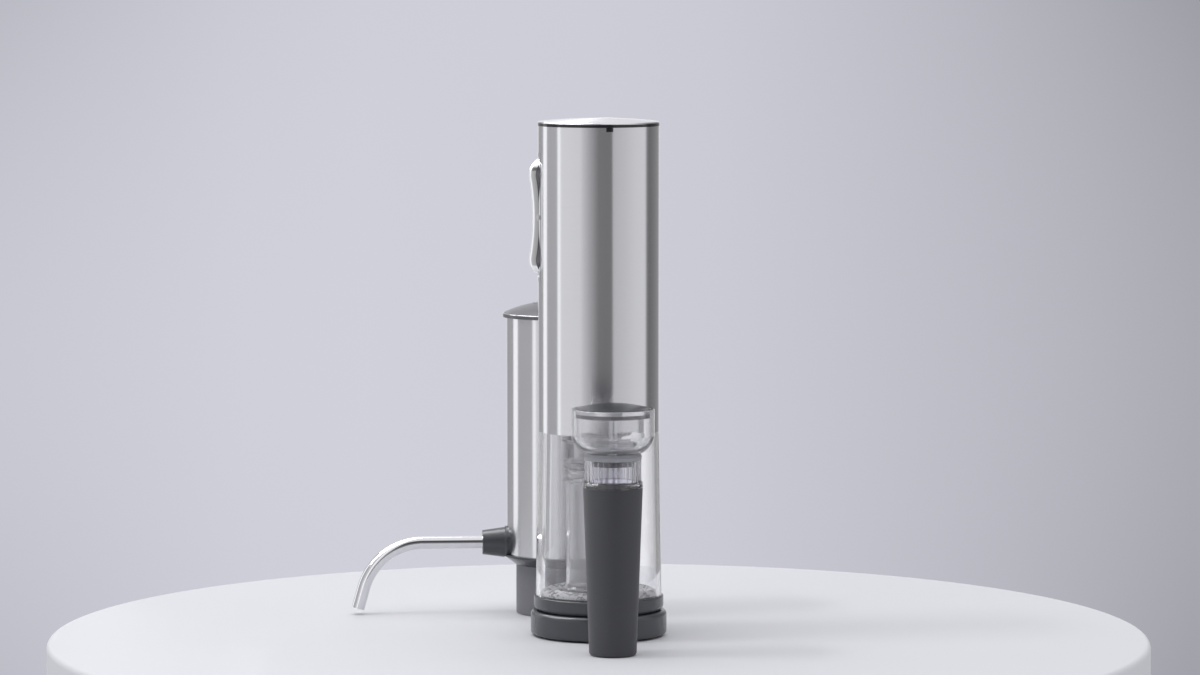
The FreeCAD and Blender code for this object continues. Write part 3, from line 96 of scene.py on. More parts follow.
# ------------------------------------------------------------------------------ properties
def colour_property(name, description, default):
    return FloatVectorProperty(name=name, description=description, default=default,
                               subtype="COLOR", min=0.0, max=1.0)


def length_property(name, description, default):
    return FloatProperty(name=name, description=description, default=default,
                         subtype="DISTANCE", unit="LENGTH", precision=5)


def angle_property(name, description, degrees):
    return FloatProperty(name=name, description=description, default=math.radians(degrees),
                         subtype="ANGLE")


class WineFinishes(bpy.types.PropertyGroup):
    """The colours of the set."""

    steel: colour_property("Brushed steel", "Tube of the opener and can of the dispenser",
                           (0.62, 0.62, 0.635))
    chrome: colour_property("Polished steel", "Spout, bezel, pin and rings", (0.74, 0.74, 0.76))
    satin: colour_property("Satin chrome", "Skin and bosses of the rocker", (0.96, 0.96, 0.98))
    bright: colour_property("Turned steel", "Worm, springs, screws and blades", (0.66, 0.66, 0.68))
    dark: colour_property("Dark plastic", "Charging base, foil cutter, boss and cap",
                          (0.063, 0.067, 0.076))
    black: colour_property("Gloss black", "Ring under the opener's cap", (0.010, 0.010, 0.014))
    grey: colour_property("Grey plastic", "Lid of the dispenser, core of the rocker",
                          (0.115, 0.115, 0.128))
    silicone: colour_property("Soft silicone", "Sleeve and feet", (0.050, 0.051, 0.057))
    socket: colour_property("Grey silicone", "Bottle socket of the dispenser", (0.18, 0.18, 0.20))
    seal: colour_property("Seal", "Piston seal and cap gasket", (0.016, 0.013, 0.030))
    milky: colour_property("Milky silicone", "Ring under the stopper's bowl", (0.60, 0.60, 0.65))
    clear: colour_property("Clear plastic", "Shell, guide, bowl and barrel", (0.985, 0.985, 0.995))
    barrel: colour_property("Tinted plastic", "Barrel and rod of the stopper", (0.95, 0.945, 0.99))
    brass: colour_property("Brass", "Contacts and bush", (0.72, 0.52, 0.25))
    wrap: colour_property("Cell wrap", "Film round the battery cells", (0.05, 0.10, 0.20))
    board: colour_property("Board", "Solder mask of the circuit boards", (0.02, 0.13, 0.06))
    table: colour_property("Table", "Round table under the set", (0.830, 0.837, 0.865))
    backdrop: colour_property("Backdrop", "Plain wall behind the set", (0.640, 0.640, 0.715))


class WineSizes(bpy.types.PropertyGroup):
    """The sizes of the modelled pieces and of the textures."""

    hairline: length_property("Hairline", "Width of one brushed line", 0.12 * MM)
    grain: length_property("Grain", "Size of the moulded plastic's grain", 0.35 * MM)
    trim_foot: length_property("Trim foot", "From the can up to the lid's bright ring", 1.42 * MM)
    trim_tall: length_property("Trim height", "Height of the lid's bright ring", 0.42 * MM)
    trim_proud: length_property("Trim proud", "How far that ring stands out", 0.02 * MM)
    trim_thick: length_property("Trim thickness", "From its inside to its outside", 0.5 * MM)
    trim_round: length_property("Trim round", "Radius of its edges", 0.12 * MM)
    band_foot: length_property("Band foot", "From the gasket up to the cap's ring", 0.1 * MM)
    band_top: length_property("Band top", "From the gasket up to that ring's top", 1.7 * MM)
    band_inner: length_property("Band inside", "From the gasket's side to the ring", 0.02 * MM)
    band_outer: length_property("Band outside", "From the gasket's side to its outside", 0.28 * MM)
    band_round: length_property("Band round", "Radius of its edges", 0.08 * MM)
    floor_round: length_property("Floor round", "Radius of the floor ring's edges", 0.15 * MM)
    rocker_long: length_property("Rocker length", "Half of the rocker's length", 26.4 * MM)
    rocker_wide: length_property("Rocker width", "Half of the rocker's width", 6.5 * MM)
    rocker_rise: length_property("Rocker rise", "From the opener's axis to its lobes", 31.1 * MM)
    rocker_lobe: length_property("Rocker lobes", "From its middle to the top of a lobe", 18.5 * MM)
    rocker_waist: length_property("Rocker waist", "How far it dips between its lobes", 1.6 * MM)
    rocker_end: length_property("Rocker ends", "Radius over each end", 9.0 * MM)
    rocker_thick: length_property("Rocker skin", "Thickness of the bright skin", 3.2 * MM)
    rocker_round: length_property("Rocker round", "Radius of the skin's outer edges", 1.3 * MM)
    core_inset: length_property("Core inset", "How far the core stands in from the skin", 0.9 * MM)
    core_foot: length_property("Core foot", "From the opener's axis to the core's back", 23.2 * MM)
    core_lap: length_property("Core lap", "How far the core reaches into the skin", 0.3 * MM)
    boss_radius: length_property("Boss radius", "Radius of the boss at a pin's end", 2.2 * MM)
    boss_proud: length_property("Boss proud", "How far it stands out from the rocker", 0.22 * MM)
    boss_round: length_property("Boss round", "Radius of its edges", 0.06 * MM)
    lens_wide: length_property("Lens width", "Width of the indicator under the cap", 2.9 * MM)
    lens_tall: length_property("Lens height", "Height of the indicator", 1.75 * MM)
    lens_thick: length_property("Lens thickness", "Thickness of the indicator", 1.0 * MM)
    lens_side: length_property("Lens place", "Offset of the indicator to the right", 4.9 * MM)
    lens_drop: length_property("Lens drop", "From the tube's top to its middle", 0.95 * MM)
    lens_round: length_property("Lens round", "Radius of the indicator's corners", 0.3 * MM)


class WineStudio(bpy.types.PropertyGroup):
    """The camera, the table, the lamp and the high panel."""

    camera_far: length_property("Camera distance", "Distance in front of the opener", 2.15)
    camera_high: length_property("Camera height", "Height above the table", 0.314)
    camera_side: length_property("Camera side", "Offset to the right", 0.0006)
    camera_pitch: angle_property("Camera pitch", "Angle below the horizon", 4.8)
    focal: FloatProperty(name="Focal length", description="In millimetres on a 36 mm sensor",
                         default=145.14)
    table_radius: length_property("Table radius", "Radius of the round table", 0.246)
    table_thick: length_property("Table thickness", "Thickness of its top", 0.03)
    table_round: length_property("Table edge", "Radius of its edge", 0.0025)
    lamp_far: length_property("Lamp distance", "Distance of the side lamp", 2.0)
    lamp_turn: angle_property("Lamp turn", "From the camera's side towards the left", 80.0)
    lamp_rise: angle_property("Lamp height", "Angle of the side lamp above the table", 55.0)
    lamp_long: length_property("Lamp length", "Length of the lamp, from front to back", 0.40)
    lamp_wide: length_property("Lamp width", "Width of the lamp", 0.16)
    lamp_power: FloatProperty(name="Lamp power", description="Power of the side lamp in watts",
                              default=5.0)
    high_far: length_property("High panel distance", "Distance of the panel above the set", 1.2)
    high_turn: angle_property("High panel turn", "From the camera's side towards the left", 112.0)
    high_rise: angle_property("High panel height", "Angle of the panel above the table", 56.0)
    high_long: length_property("High panel length", "Length of the panel", 1.10)
    high_wide: length_property("High panel width", "Width of the panel", 1.00)
    high_level: FloatProperty(name="High panel level", default=7.5,
                              description="Strength of the panel in glossy surfaces")
    bounces: IntProperty(name="Bounces", description="How many clear walls a ray may pass",
                         default=28)


# ---------------------------------------------------------------------------------- shading
# How fine each pattern is, in waves to the metre along x, y and z.
PATTERNS = {
    "polishing": (900.0, 900.0, 900.0),
    "haze": (70.0, 70.0, 70.0),
    "tooling": (400.0, 400.0, 5200.0),
    "cloud": (55.0, 55.0, 55.0),
    "bloom": (45.0, 45.0, 30.0),
    "dust": (1600.0, 1600.0, 1600.0),
    "ripple": (160.0, 160.0, 60.0),
    "facets_and_painted_glints": (330.0, 330.0, 500.0),
    "milk": (300.0, 300.0, 300.0),
    "creases": (120.0, 120.0, 20.0),
    "tracks": (420.0, 420.0, 420.0),
    "table": (9.0, 9.0, 9.0),
}
# The waves to the metre round a brushed piece, for its hairlines and for its streaks, and how
# many hairlines a streak spans.
HAIR_ROUND = 30.0
STREAK_ROUND = 9.0
STREAK_SPAN = 5.0
# The levels of a pattern at which dust shows, a track ends, and a painted glint fades in and is
# full.
DUST_LEVEL = 0.74
TRACK_LEVEL = 0.42
PAINTED_GLINT_LEVELS = (0.42, 0.52)
# How many pores of silicone there are for each grain of hard plastic, along a line.
SOFT_PORES = 1.4
PLASTIC_INDEX = 1.49
SILICONE_INDEX = 1.41


class Shade:
    """A shader socket, so that shader maths reads as arithmetic."""

    def __init__(self, tree, socket):
        self.tree = tree
        self.socket = socket

    def maths(self, operation, first, second):
        return self.tree.maths(operation, first, second)

    def __add__(self, other):
        return self.maths("ADD", self, other)

    def __radd__(self, other):
        return self.maths("ADD", other, self)

    def __sub__(self, other):
        return self.maths("SUBTRACT", self, other)

    def __mul__(self, other):
        return self.maths("MULTIPLY", self, other)

    def __rmul__(self, other):
        return self.maths("MULTIPLY", other, self)

    def __truediv__(self, other):
        return self.maths("DIVIDE", self, other)

    def __neg__(self):
        return self.maths("MULTIPLY", self, -1.0)

    def __pow__(self, other):
        return self.maths("POWER", self, other)

    def greater(self, other):
        return self.maths("GREATER_THAN", self, other)


class Tree:
    """The node tree of a material or of the world."""

    def __init__(self, owner):
        owner.use_nodes = True
        self.nodes = owner.node_tree.nodes
        self.links = owner.node_tree.links
        self.nodes.clear()

    def node(self, kind, settings=None, values=(), output=0):
        """Add a node, make its settings, then fill its sockets. Gives one of its outputs."""
        made = self.nodes.new(kind)
        for name, value in (settings or {}).items():
            if name == "stops":
                fill_ramp(made.color_ramp, value)
            else:
                setattr(made, name, value)
        for key, value in values.items() if isinstance(values, dict) else enumerate(values):
            if isinstance(value, Shade):
                self.links.new(value.socket, made.inputs[key])
            else:
                made.inputs[key].default_value = value
        return Shade(self, made.outputs[output]) if made.outputs else made

    def maths(self, operation, *values):
        return self.node("ShaderNodeMath", {"operation": operation}, values)

    def place(self, scale=(1.0, 1.0, 1.0), centre=(0.0, 0.0, 0.0)):
        """Object coordinates, centred and scaled for a pattern."""
        where = self.node("ShaderNodeTexCoord", output="Object")
        moved = self.node("ShaderNodeVectorMath", {"operation": "SUBTRACT"},
                          [where, tuple(centre)])
        return self.node("ShaderNodeMapping", {"vector_type": "POINT"},
                         {0: moved, 3: tuple(scale)})

    def noise(self, where, detail=2.0, roughness=0.5):
        return self.node("ShaderNodeTexNoise", None, {
            "Vector": where, "Scale": 1.0, "Detail": detail, "Roughness": roughness})

    def pattern(self, name, **settings):
        """Noise as fine as one of the named patterns."""
        return self.noise(self.place(PATTERNS[name]), **settings)

    def fade(self, value, start, end, before=0.0, after=1.0):
        """A smooth change from one level to another, while the value goes from start to end."""
        return self.node("ShaderNodeMapRange", {"interpolation_type": "SMOOTHSTEP"},
                         {"Value": value, "From Min": start, "From Max": end,
                          "To Min": before, "To Max": after})

    def mix(self, share, first, second, blend="MIX"):
        return self.node("ShaderNodeMix", {"data_type": "RGBA", "blend_type": blend},
                         {0: share, 6: first, 7: second}, output=2)

    def shades(self, share, colour, low, high):
        """A colour that varies between two levels of itself."""
        return self.mix(share, rgba(colour, low), rgba(colour, high))

    def bump(self, height, strength, distance):
        return self.node("ShaderNodeBump", None,
                         {"Height": height, "Strength": strength, "Distance": distance})

    def ramp(self, share, stops):
        return self.node("ShaderNodeValToRGB", {"stops": stops}, [share])

    def surface(self, **sockets):
        """A Principled surface. Socket names are written with underscores."""
        values = {name.replace("_", " ").title().replace("Ior", "IOR"): value
                  for name, value in sockets.items()}
        shader = self.node("ShaderNodeBsdfPrincipled", None, values)
        self.node("ShaderNodeOutputMaterial", None, [shader])


def fill_ramp(ramp, stops):
    """Give a colour ramp its stops, each a place and a colour."""
    while len(ramp.elements) < len(stops):
        ramp.elements.new(1.0)
    for element, (place, colour) in zip(ramp.elements, stops):
        element.position = place
        element.color = colour


def rgba(colour, level=1.0):
    """A colour at a level of itself, no brighter than white, with full alpha."""
    return (*(min(part * level, 1.0) for part in colour), 1.0)


def new_tree(name):
    material = bpy.data.materials.new(name)
    return material, Tree(material)


def finishes():
    return bpy.context.scene.wine_finishes


def sizes():
    return bpy.context.scene.wine_sizes


def brushed_steel(name, colour, centre):
    """Steel with hairlines that run round an upright axis."""
    material, tree = new_tree(name)
    fine = 1.0 / sizes().hairline
    hair = tree.noise(tree.place((HAIR_ROUND, HAIR_ROUND, fine), centre), detail=3.0)
    streak = tree.noise(tree.place((STREAK_ROUND, STREAK_ROUND, fine / STREAK_SPAN), centre))
    tree.surface(
        base_color=tree.shades(hair * 0.7 + streak * 0.3, colour, low=0.955, high=1.045),
        metallic=1.0,
        roughness=0.17 + hair * 0.06,
        anisotropic=0.85,
        anisotropic_rotation=0.25,
        normal=tree.bump(hair, strength=0.02, distance=0.02 * MM),
    )
    return material


def spun_steel(name, colour, centre):
    """Steel with fine rings round an upright axis, as on a spun cap."""
    material, tree = new_tree(name)
    flat = tree.place((1.0, 1.0, 0.0), centre)
    radius = tree.node("ShaderNodeVectorMath", {"operation": "LENGTH"}, [flat], output="Value")
    across = tree.node("ShaderNodeCombineXYZ", None, [radius * (1.0 / sizes().hairline), 0.0, 0.0])
    rings = tree.noise(across, detail=3.0)
    tree.surface(
        base_color=tree.shades(rings, colour, low=1.05, high=1.25),
        metallic=1.0,
        roughness=0.22 + rings * 0.08,
        anisotropic=0.7,
        anisotropic_rotation=0.25,
        normal=tree.bump(rings, strength=0.05, distance=0.02 * MM),
    )
    return material


def polished_metal(name, colour, rough=0.05):
    """Polished metal with faint polishing marks and a little haze."""
    material, tree = new_tree(name)
    marks = tree.pattern("polishing", detail=4.0)
    haze = tree.pattern("haze")
    tree.surface(
        base_color=tree.shades(haze, colour, low=0.96, high=1.04),
        metallic=1.0,
        roughness=rough + haze * 0.05,
        normal=tree.bump(marks, strength=0.02, distance=0.01 * MM),
    )
    return material


def turned_metal(name, colour, rough=0.28):
    """Machined metal with fine tool marks."""
    material, tree = new_tree(name)
    marks = tree.pattern("tooling")
    tree.surface(
        base_color=tree.shades(marks, colour, low=0.82, high=1.12),
        metallic=1.0,
        roughness=rough + marks * 0.12,
        normal=tree.bump(marks, strength=0.15, distance=0.02 * MM),
    )
    return material


def moulded_plastic(name, colour, rough, grain=0.10):
    """Moulded plastic with a fine spark-eroded grain."""
    material, tree = new_tree(name)
    fine = 1.0 / sizes().grain
    pores = tree.noise(tree.place((fine, fine, fine)), roughness=0.6)
    cloud = tree.pattern("cloud")
    tree.surface(
        base_color=tree.shades(cloud, colour, low=0.94, high=1.06),
        roughness=rough + (pores - 0.5) * 0.10 + (cloud - 0.5) * 0.05,
        specular_ior_level=0.5,
        normal=tree.bump(pores, strength=grain, distance=0.03 * MM),
    )
    return material


def soft_silicone(name, colour):
    """Matt silicone: a soft bloom, fine pores and a trace of dust."""
    material, tree = new_tree(name)
    fine = 1.0 / sizes().grain * SOFT_PORES
    pores = tree.noise(tree.place((fine, fine, fine)), detail=3.0, roughness=0.6)
    bloom = tree.pattern("bloom", detail=3.0)
    dust = tree.pattern("dust", detail=1.0).greater(DUST_LEVEL)
    plain = tree.shades(bloom, colour, low=0.93, high=1.08)
    tree.surface(
        base_color=tree.mix(dust * 0.25, plain, rgba(colour, 2.2)),
        roughness=0.62 + (pores - 0.5) * 0.12,
        sheen_weight=0.12,
        sheen_roughness=0.5,
        normal=tree.bump(pores, strength=0.16, distance=0.03 * MM),
    )
    return material


def clear_plastic(name, colour, haze=0.02):
    """Clear moulded plastic with a very faint ripple and a share of haze."""
    material, tree = new_tree(name)
    ripple = tree.pattern("ripple")
    tree.surface(
        base_color=rgba(colour),
        roughness=0.012 * ripple,
        ior=PLASTIC_INDEX,
        transmission_weight=1.0 - haze,
        normal=tree.bump(ripple, strength=0.05, distance=0.02 * MM),
    )
    return material


def frosted_plastic(name, colour):
    """Thick clear plastic, looking white, with grey painted glints for light its facets bend."""
    material, tree = new_tree(name)
    facets_and_painted_glints = tree.pattern("facets_and_painted_glints", detail=3.0, roughness=0.7)
    tree.surface(
        # Painted glints: grey patches at random in the colour, standing in for light bent by the
        # facets.
        base_color=tree.shades(tree.fade(facets_and_painted_glints, *PAINTED_GLINT_LEVELS), colour, low=0.38, high=1.0),
        roughness=0.10 + facets_and_painted_glints * 0.15,
        ior=PLASTIC_INDEX,
        transmission_weight=0.12,
        normal=tree.bump(facets_and_painted_glints, strength=0.3, distance=0.05 * MM),
    )
    return material


def milky_silicone(name, colour):
    """Soft translucent silicone."""
    material, tree = new_tree(name)
    cloud = tree.pattern("milk")
    tree.surface(
        base_color=tree.shades(cloud, colour, low=0.92, high=1.08),
        roughness=0.30 + cloud * 0.10,
        ior=SILICONE_INDEX,
        transmission_weight=0.45,
        normal=tree.bump(cloud, strength=0.05, distance=0.03 * MM),
    )
    return material


def film_wrap(name, colour):
    """Shrink film round a cell, with faint creases along it."""
    material, tree = new_tree(name)
    creases = tree.pattern("creases", detail=3.0)
    tree.surface(
        base_color=tree.shades(creases, colour, low=0.85, high=1.25),
        roughness=0.22 + creases * 0.10,
        coat_weight=0.3,
        normal=tree.bump(creases, strength=0.10, distance=0.05 * MM),
    )
    return material


def circuit_board(name, colour):
    """Solder mask over a pattern of raised tracks."""
    material, tree = new_tree(name)
    tracks = tree.node("ShaderNodeTexVoronoi", {"distance": "CHEBYCHEV"},
                       {"Vector": tree.place(PATTERNS["tracks"]), "Scale": 1.0})
    lines = tracks.greater(TRACK_LEVEL)
    tree.surface(
        base_color=tree.shades(lines, colour, low=1.0, high=1.7),
        roughness=0.32 + lines * 0.08,
        normal=tree.bump(lines, strength=0.2, distance=0.03 * MM),
    )
    return material


def dress(material, *names):
    """Give frame nodes a material in place of the one that they came with."""
    for name in names:
        mesh = NODES[name].data
        mesh.materials.clear()
        mesh.materials.append(material)


# --------------------------------------------------------------------------------- modelling
def start(piece_name):
    """Name the primitive that was just added, with its place in its mesh, and edit it."""
    piece = bpy.context.object
    piece.name = piece_name
    piece.data.name = piece_name
    bpy.ops.object.transform_apply(location=True, rotation=True, scale=True)
    bpy.ops.object.mode_set(mode="EDIT")
    bpy.ops.mesh.select_all(action="SELECT")
    return piece


def deselect():
    bpy.ops.object.select_all(action="DESELECT")


def apply_modifier(piece, kind, **settings):
    """Add a modifier to the active piece, set it and make it part of the mesh."""
    modifier = piece.modifiers.new(kind.title(), kind)
    for name, value in settings.items():
        setattr(modifier, name, value)
    bpy.ops.object.modifier_apply(modifier=modifier.name)


def round_edges(piece, radius, segments=2):
    apply_modifier(piece, "BEVEL", width=radius, segments=segments, limit_method="ANGLE")


def complete(piece, body, material, replaced=()):
    """Shade a finished piece, give it its material and let it ride its body."""
    deselect()
    piece.select_set(True)
    bpy.context.view_layer.objects.active = piece
    bpy.ops.object.shade_smooth_by_angle(angle=SMOOTH_ANGLE)
    piece.data.materials.clear()
    piece.data.materials.append(material)
    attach(piece, body)
    if replaced:
        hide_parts(*replaced)


def turned_ring(name, outline, centre):
    """A closed ring: a circle whose edges are extruded to each point of the outline in turn."""
    deselect()
    radius, height = outline[0]
    bpy.ops.mesh.primitive_circle_add(vertices=RING_SIDES, radius=radius,
                                      location=(centre.x, centre.y, height))
    piece = start(name)
    for next_radius, next_height in [*outline[1:], outline[0]]:
        bpy.ops.mesh.extrude_edges_move(
            TRANSFORM_OT_translate={"value": (0.0, 0.0, next_height - height)})
        grow = next_radius / radius
        bpy.ops.transform.resize(value=(grow, grow, 1.0),
                                 center_override=(centre.x, centre.y, next_height))
        radius, height = next_radius, next_height
    bpy.ops.mesh.select_all(action="SELECT")
    bpy.ops.mesh.remove_doubles(threshold=WELD)
    bpy.ops.mesh.normals_make_consistent(inside=False)
    bpy.ops.object.mode_set(mode="OBJECT")
    return piece


def flat_ring(name, inner, outer, foot, top, centre):
    """A closed ring with upright sides and a level foot and top."""
    return turned_ring(name, [(inner, foot), (outer, foot), (outer, top), (inner, top)], centre)


class WINESET_OT_steel_bodies(bpy.types.Operator):
    """Brush the opener's tube and the dispenser's can, and spin the opener's cap"""

    bl_idname = "wineset.steel_bodies"
    bl_label = "Steel Bodies"

    def execute(self, context):
        steel = finishes().steel
        dress(brushed_steel("brushed_tube", steel, OPENER), "outer_tube")
        dress(brushed_steel("brushed_can", steel, DISPENSER), "dispenser_can")
        dress(spun_steel("spun_cap", steel, OPENER), "top_cap")
        return {"FINISHED"}


class WINESET_OT_bright_trim(bpy.types.Operator):
    """Polish the spout, the rocker's bezel and pin, and ring the lid and the stopper's cap"""

    bl_idname = "wineset.bright_trim"
    bl_label = "Bright Trim"

    def execute(self, context):
        chrome = polished_metal("polished_steel", finishes().chrome)
        dress(chrome, "spout", "rocker_pin", "rocker_bezel")
        polished_metal("satin_chrome", finishes().satin, rough=0.16)
        self.make_lid_ring(chrome)
        self.make_cap_ring(chrome)
        return {"FINISHED"}

    def make_lid_ring(self, chrome):
        size = sizes()
        low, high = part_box("dispenser_lid")
        reach = (high.x - low.x) / 2 + size.trim_proud
        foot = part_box("dispenser_can")[1].z + size.trim_foot
        ring = flat_ring("lid_trim_ring", reach - size.trim_thick, reach, foot,
                         foot + size.trim_tall, DISPENSER)
        round_edges(ring, size.trim_round, segments=3)
        complete(ring, "dispenser", chrome)

    def make_cap_ring(self, chrome):
        size = sizes()
        low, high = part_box("cap_gasket")
        reach = (high.x - low.x) / 2
        band = flat_ring("cap_trim_ring", reach + size.band_inner, reach + size.band_outer,
                         high.z + size.band_foot, high.z + size.band_top, STOPPER)
        round_edges(band, size.band_round)
        complete(band, "plunger", chrome)


class WINESET_OT_plastics(bpy.types.Operator):
    """Mould the dark, grey and black plastics"""

    bl_idname = "wineset.plastics"
    bl_label = "Plastics"

    def execute(self, context):
        colours = finishes()
        dark = moulded_plastic("dark_plastic", colours.dark, rough=0.24, grain=0.05)
        dress(dark, "base_housing", "cutter_body", "spout_boss", "dispenser_collar", "stopper_cap")
        dress(moulded_plastic("grey_plastic", colours.grey, rough=0.30), "dispenser_lid",
              "dispenser_button")
        dress(moulded_plastic("gloss_black", colours.black, rough=0.10, grain=0.02), "top_ring")
        matt = moulded_plastic("matt_plastic", colours.dark, rough=0.50, grain=0.2)
        dress(matt, "base_plate", "chassis_front", "chassis_back", "cell_holder",
              "dispenser_frame", "pump_head", "charge_inlet", "rocker_switches", "wine_block")
        return {"FINISHED"}


class WINESET_OT_soft_parts(bpy.types.Operator):
    """Finish the silicone sleeve, socket, feet and seals"""

    bl_idname = "wineset.soft_parts"
    bl_label = "Soft Parts"

    def execute(self, context):
        colours = finishes()
        dress(soft_silicone("soft_silicone", colours.silicone), "stopper_sleeve", "base_feet")
        dress(soft_silicone("grey_silicone", colours.socket), "bottle_socket")
        dress(moulded_plastic("seal_rubber", colours.seal, rough=0.12, grain=0.03), "piston_seal",
              "cap_gasket")
        dress(milky_silicone("milky_silicone", colours.milky), "seal_ring", "air_hose")
        return {"FINISHED"}


# The ridged ring at the foot of the clear shell: the radius of each corner of its section, and
# its height above the shell's foot, in millimetres.
FLOOR_RIDGES = (
    (17.0, 0.3), (25.8, 0.3), (25.8, 1.9), (23.6, 2.8), (21.4, 1.7), (19.2, 2.8), (17.0, 1.9),
)


class WINESET_OT_clear_parts(bpy.types.Operator):
    """Cast the clear shell with its ridged floor, the guide, barrel, bowl and rod"""

    bl_idname = "wineset.clear_parts"
    bl_label = "Clear Parts"

    def execute(self, context):
        colour = finishes().clear
        dress(clear_plastic("clear_plastic", colour), "clear_shell")
        dress(clear_plastic("barrel_plastic", finishes().barrel, haze=0.06), "stopper_barrel",
              "pump_rod")
        dress(clear_plastic("guide_plastic", colour, haze=0.18), "bottle_guide")
        dress(clear_plastic("bowl_plastic", colour, haze=0.08), "stopper_bowl")
        self.make_floor_ring(frosted_plastic("frosted_plastic", colour))
        return {"FINISHED"}

    def make_floor_ring(self, frosted):
        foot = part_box("clear_shell")[0].z
        ring = turned_ring("shell_floor_ring",
                           [(reach * MM, foot + rise * MM) for reach, rise in FLOOR_RIDGES],
                           OPENER)
        round_edges(ring, sizes().floor_round)
        complete(ring, "opener", frosted)


# The numbers in the names of the foil cutter's wheels and of the planet gears.
CUTTER_WHEELS = (1, 2, 3, 4)
PLANET_GEARS = (1, 2, 3)


class WINESET_OT_inner_works(bpy.types.Operator):
    """Finish the worm, gears, motors, cells and boards"""

    bl_idname = "wineset.inner_works"
    bl_label = "Inner Works"

    def execute(self, context):
        colours = finishes()
        bright = turned_metal("turned_steel", colours.bright)
        dress(bright, "worm", "base_screws", "cutter_pins", "planet_carrier", "opener_motor",
              "dispenser_motor", "pump_crank",
              *(f"cutter_wheel_{number}" for number in CUTTER_WHEELS))
        gear = turned_metal("sintered_steel", colours.bright, rough=0.4)
        dress(gear, "ring_gear", "sun_pinion",
              *(f"planet_gear_{number}" for number in PLANET_GEARS))
        dress(turned_metal("plain_brass", colours.brass), "base_contacts", "shaft_bush")
        dress(film_wrap("cell_wrap", colours.wrap), "battery_cells", "dispenser_cells")
        dress(circuit_board("circuit_board", colours.board), "control_board", "dispenser_board")
        return {"FINISHED"}


# The coil springs: the frame node, the body, the joint that presses it, how far that joint goes,
# the number of turns and the thickness of the wire.
SPRINGS = (
    ("return_spring", "stopper", "pump_press", 5.0 * MM, 6.0, 1.2 * MM),
    ("button_spring", "dispenser", "pour_press", 1.5 * MM, 4.5, 0.8 * MM),
)


class WINESET_OT_springs(bpy.types.Operator):
    """Wind the two coil springs"""

    bl_idname = "wineset.springs"
    bl_label = "Springs"

    def execute(self, context):
        for node, body, joint, stroke, turns, wire in SPRINGS:
            low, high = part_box(node)
            centre = (low + high) / 2
            rise = high.z - low.z - wire
            steps = int(COIL_STEPS * turns)
            deselect()
            bpy.ops.mesh.primitive_circle_add(
                vertices=WIRE_SIDES, radius=wire / 2, rotation=(math.pi / 2, 0.0, 0.0),
                location=((high.x - low.x - wire) / 2, 0.0, 0.0))
            coil = start(f"{node}_coil")
            bpy.ops.object.mode_set(mode="OBJECT")
            apply_modifier(coil, "SCREW", angle=2 * math.pi * turns, screw_offset=rise,
                           steps=steps, render_steps=steps)
            bpy.ops.object.mode_set(mode="EDIT")
            bpy.ops.mesh.select_all(action="SELECT")
            bpy.ops.mesh.fill_holes(sides=WIRE_SIDES)
            bpy.ops.transform.translate(value=(centre.x, centre.y, low.z + wire / 2))
            close_solid()
            complete(coil, body, bpy.data.materials["turned_steel"], (node,))
            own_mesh(coil)
        return {"FINISHED"}


def select_level(piece, keep):
    """In edit mode, select only the vertices for which keep is true."""
    bpy.ops.mesh.select_all(action="DESELECT")
    bpy.ops.object.mode_set(mode="OBJECT")
    for vertex in piece.data.vertices:
        vertex.select = keep(vertex.co)
    bpy.ops.object.mode_set(mode="EDIT")


def obround(name, half_long, half_wide, reach, height):
    """A flat face with round ends, upright at the rocker's side and cut into level strips."""
    deselect()
    bpy.ops.mesh.primitive_circle_add(vertices=ROCKER_SIDES, radius=half_wide,
                                      fill_type="NGON", location=(-reach, 0.0, height),
                                      rotation=(0.0, math.pi / 2, 0.0))
    piece = start(name)
    straight = half_long - half_wide
    bpy.ops.mesh.bisect(plane_co=(-reach, 0.0, height), plane_no=(0.0, 0.0, 1.0))
    for side in (1, -1):
        select_level(piece, lambda place: (place.z - height) * side > NEAR_MIDDLE)
        bpy.ops.transform.translate(value=(0.0, 0.0, straight * side))
    around_end = [straight + half_wide * math.sin(2 * math.pi * step / ROCKER_SIDES)
                  for step in range(1, ROCKER_SIDES // 4)]
    along = [straight * (2 * cut / ROCKER_SLICES - 1) for cut in range(ROCKER_SLICES + 1)]
    for level in [*(-rise for rise in around_end), *along, *around_end]:
        bpy.ops.mesh.select_all(action="SELECT")
        bpy.ops.mesh.bisect(plane_co=(-reach, 0.0, height + level), plane_no=(0.0, 0.0, 1.0),
                            threshold=WELD)
    bpy.ops.mesh.select_all(action="SELECT")
    return piece


def follow_wave(piece, height, deepest):
    """Move each level of a piece in to the rocker's wave: two lobes, a waist and round ends.
    Points less far out than deepest stay."""
    size = sizes()
    lobe, dip, end = size.rocker_lobe, size.rocker_waist, size.rocker_end
    arc = (lobe ** 2 + dip ** 2) / (2 * dip)
    bpy.ops.object.mode_set(mode="OBJECT")
    levels = []
    for place in sorted(vertex.co.z for vertex in piece.data.vertices):
        if not levels or place - levels[-1] > SAME_LEVEL:
            levels.append(place)
    bpy.ops.object.mode_set(mode="EDIT")
    for level in levels:
        rise = abs(level - height)
        if rise < lobe:
            drop = math.sqrt(arc ** 2 - rise ** 2) - (arc - dip)
        else:
            drop = end - math.sqrt(max(end ** 2 - (rise - lobe) ** 2, 0.0))
        select_level(piece, lambda place: (0.0 <= place.z - level <= SAME_LEVEL
                                           and place.x < deepest))
        bpy.ops.transform.translate(value=(drop, 0.0, 0.0))
    bpy.ops.mesh.select_all(action="SELECT")


def close_solid():
    """Join the edited piece's doubled points, face its faces outwards and leave edit mode."""
    bpy.ops.mesh.select_all(action="SELECT")
    bpy.ops.mesh.remove_doubles(threshold=SOLID_WELD)
    bpy.ops.mesh.normals_make_consistent(inside=False)
    bpy.ops.object.mode_set(mode="OBJECT")


# The steps of a boss's face, from its edge inwards: how wide each ring is, and how far the face
# inside it comes out, in millimetres.
BOSS_RINGS = ((0.45, 0.0), (0.12, -0.10), (0.55, 0.0), (0.25, 0.06))


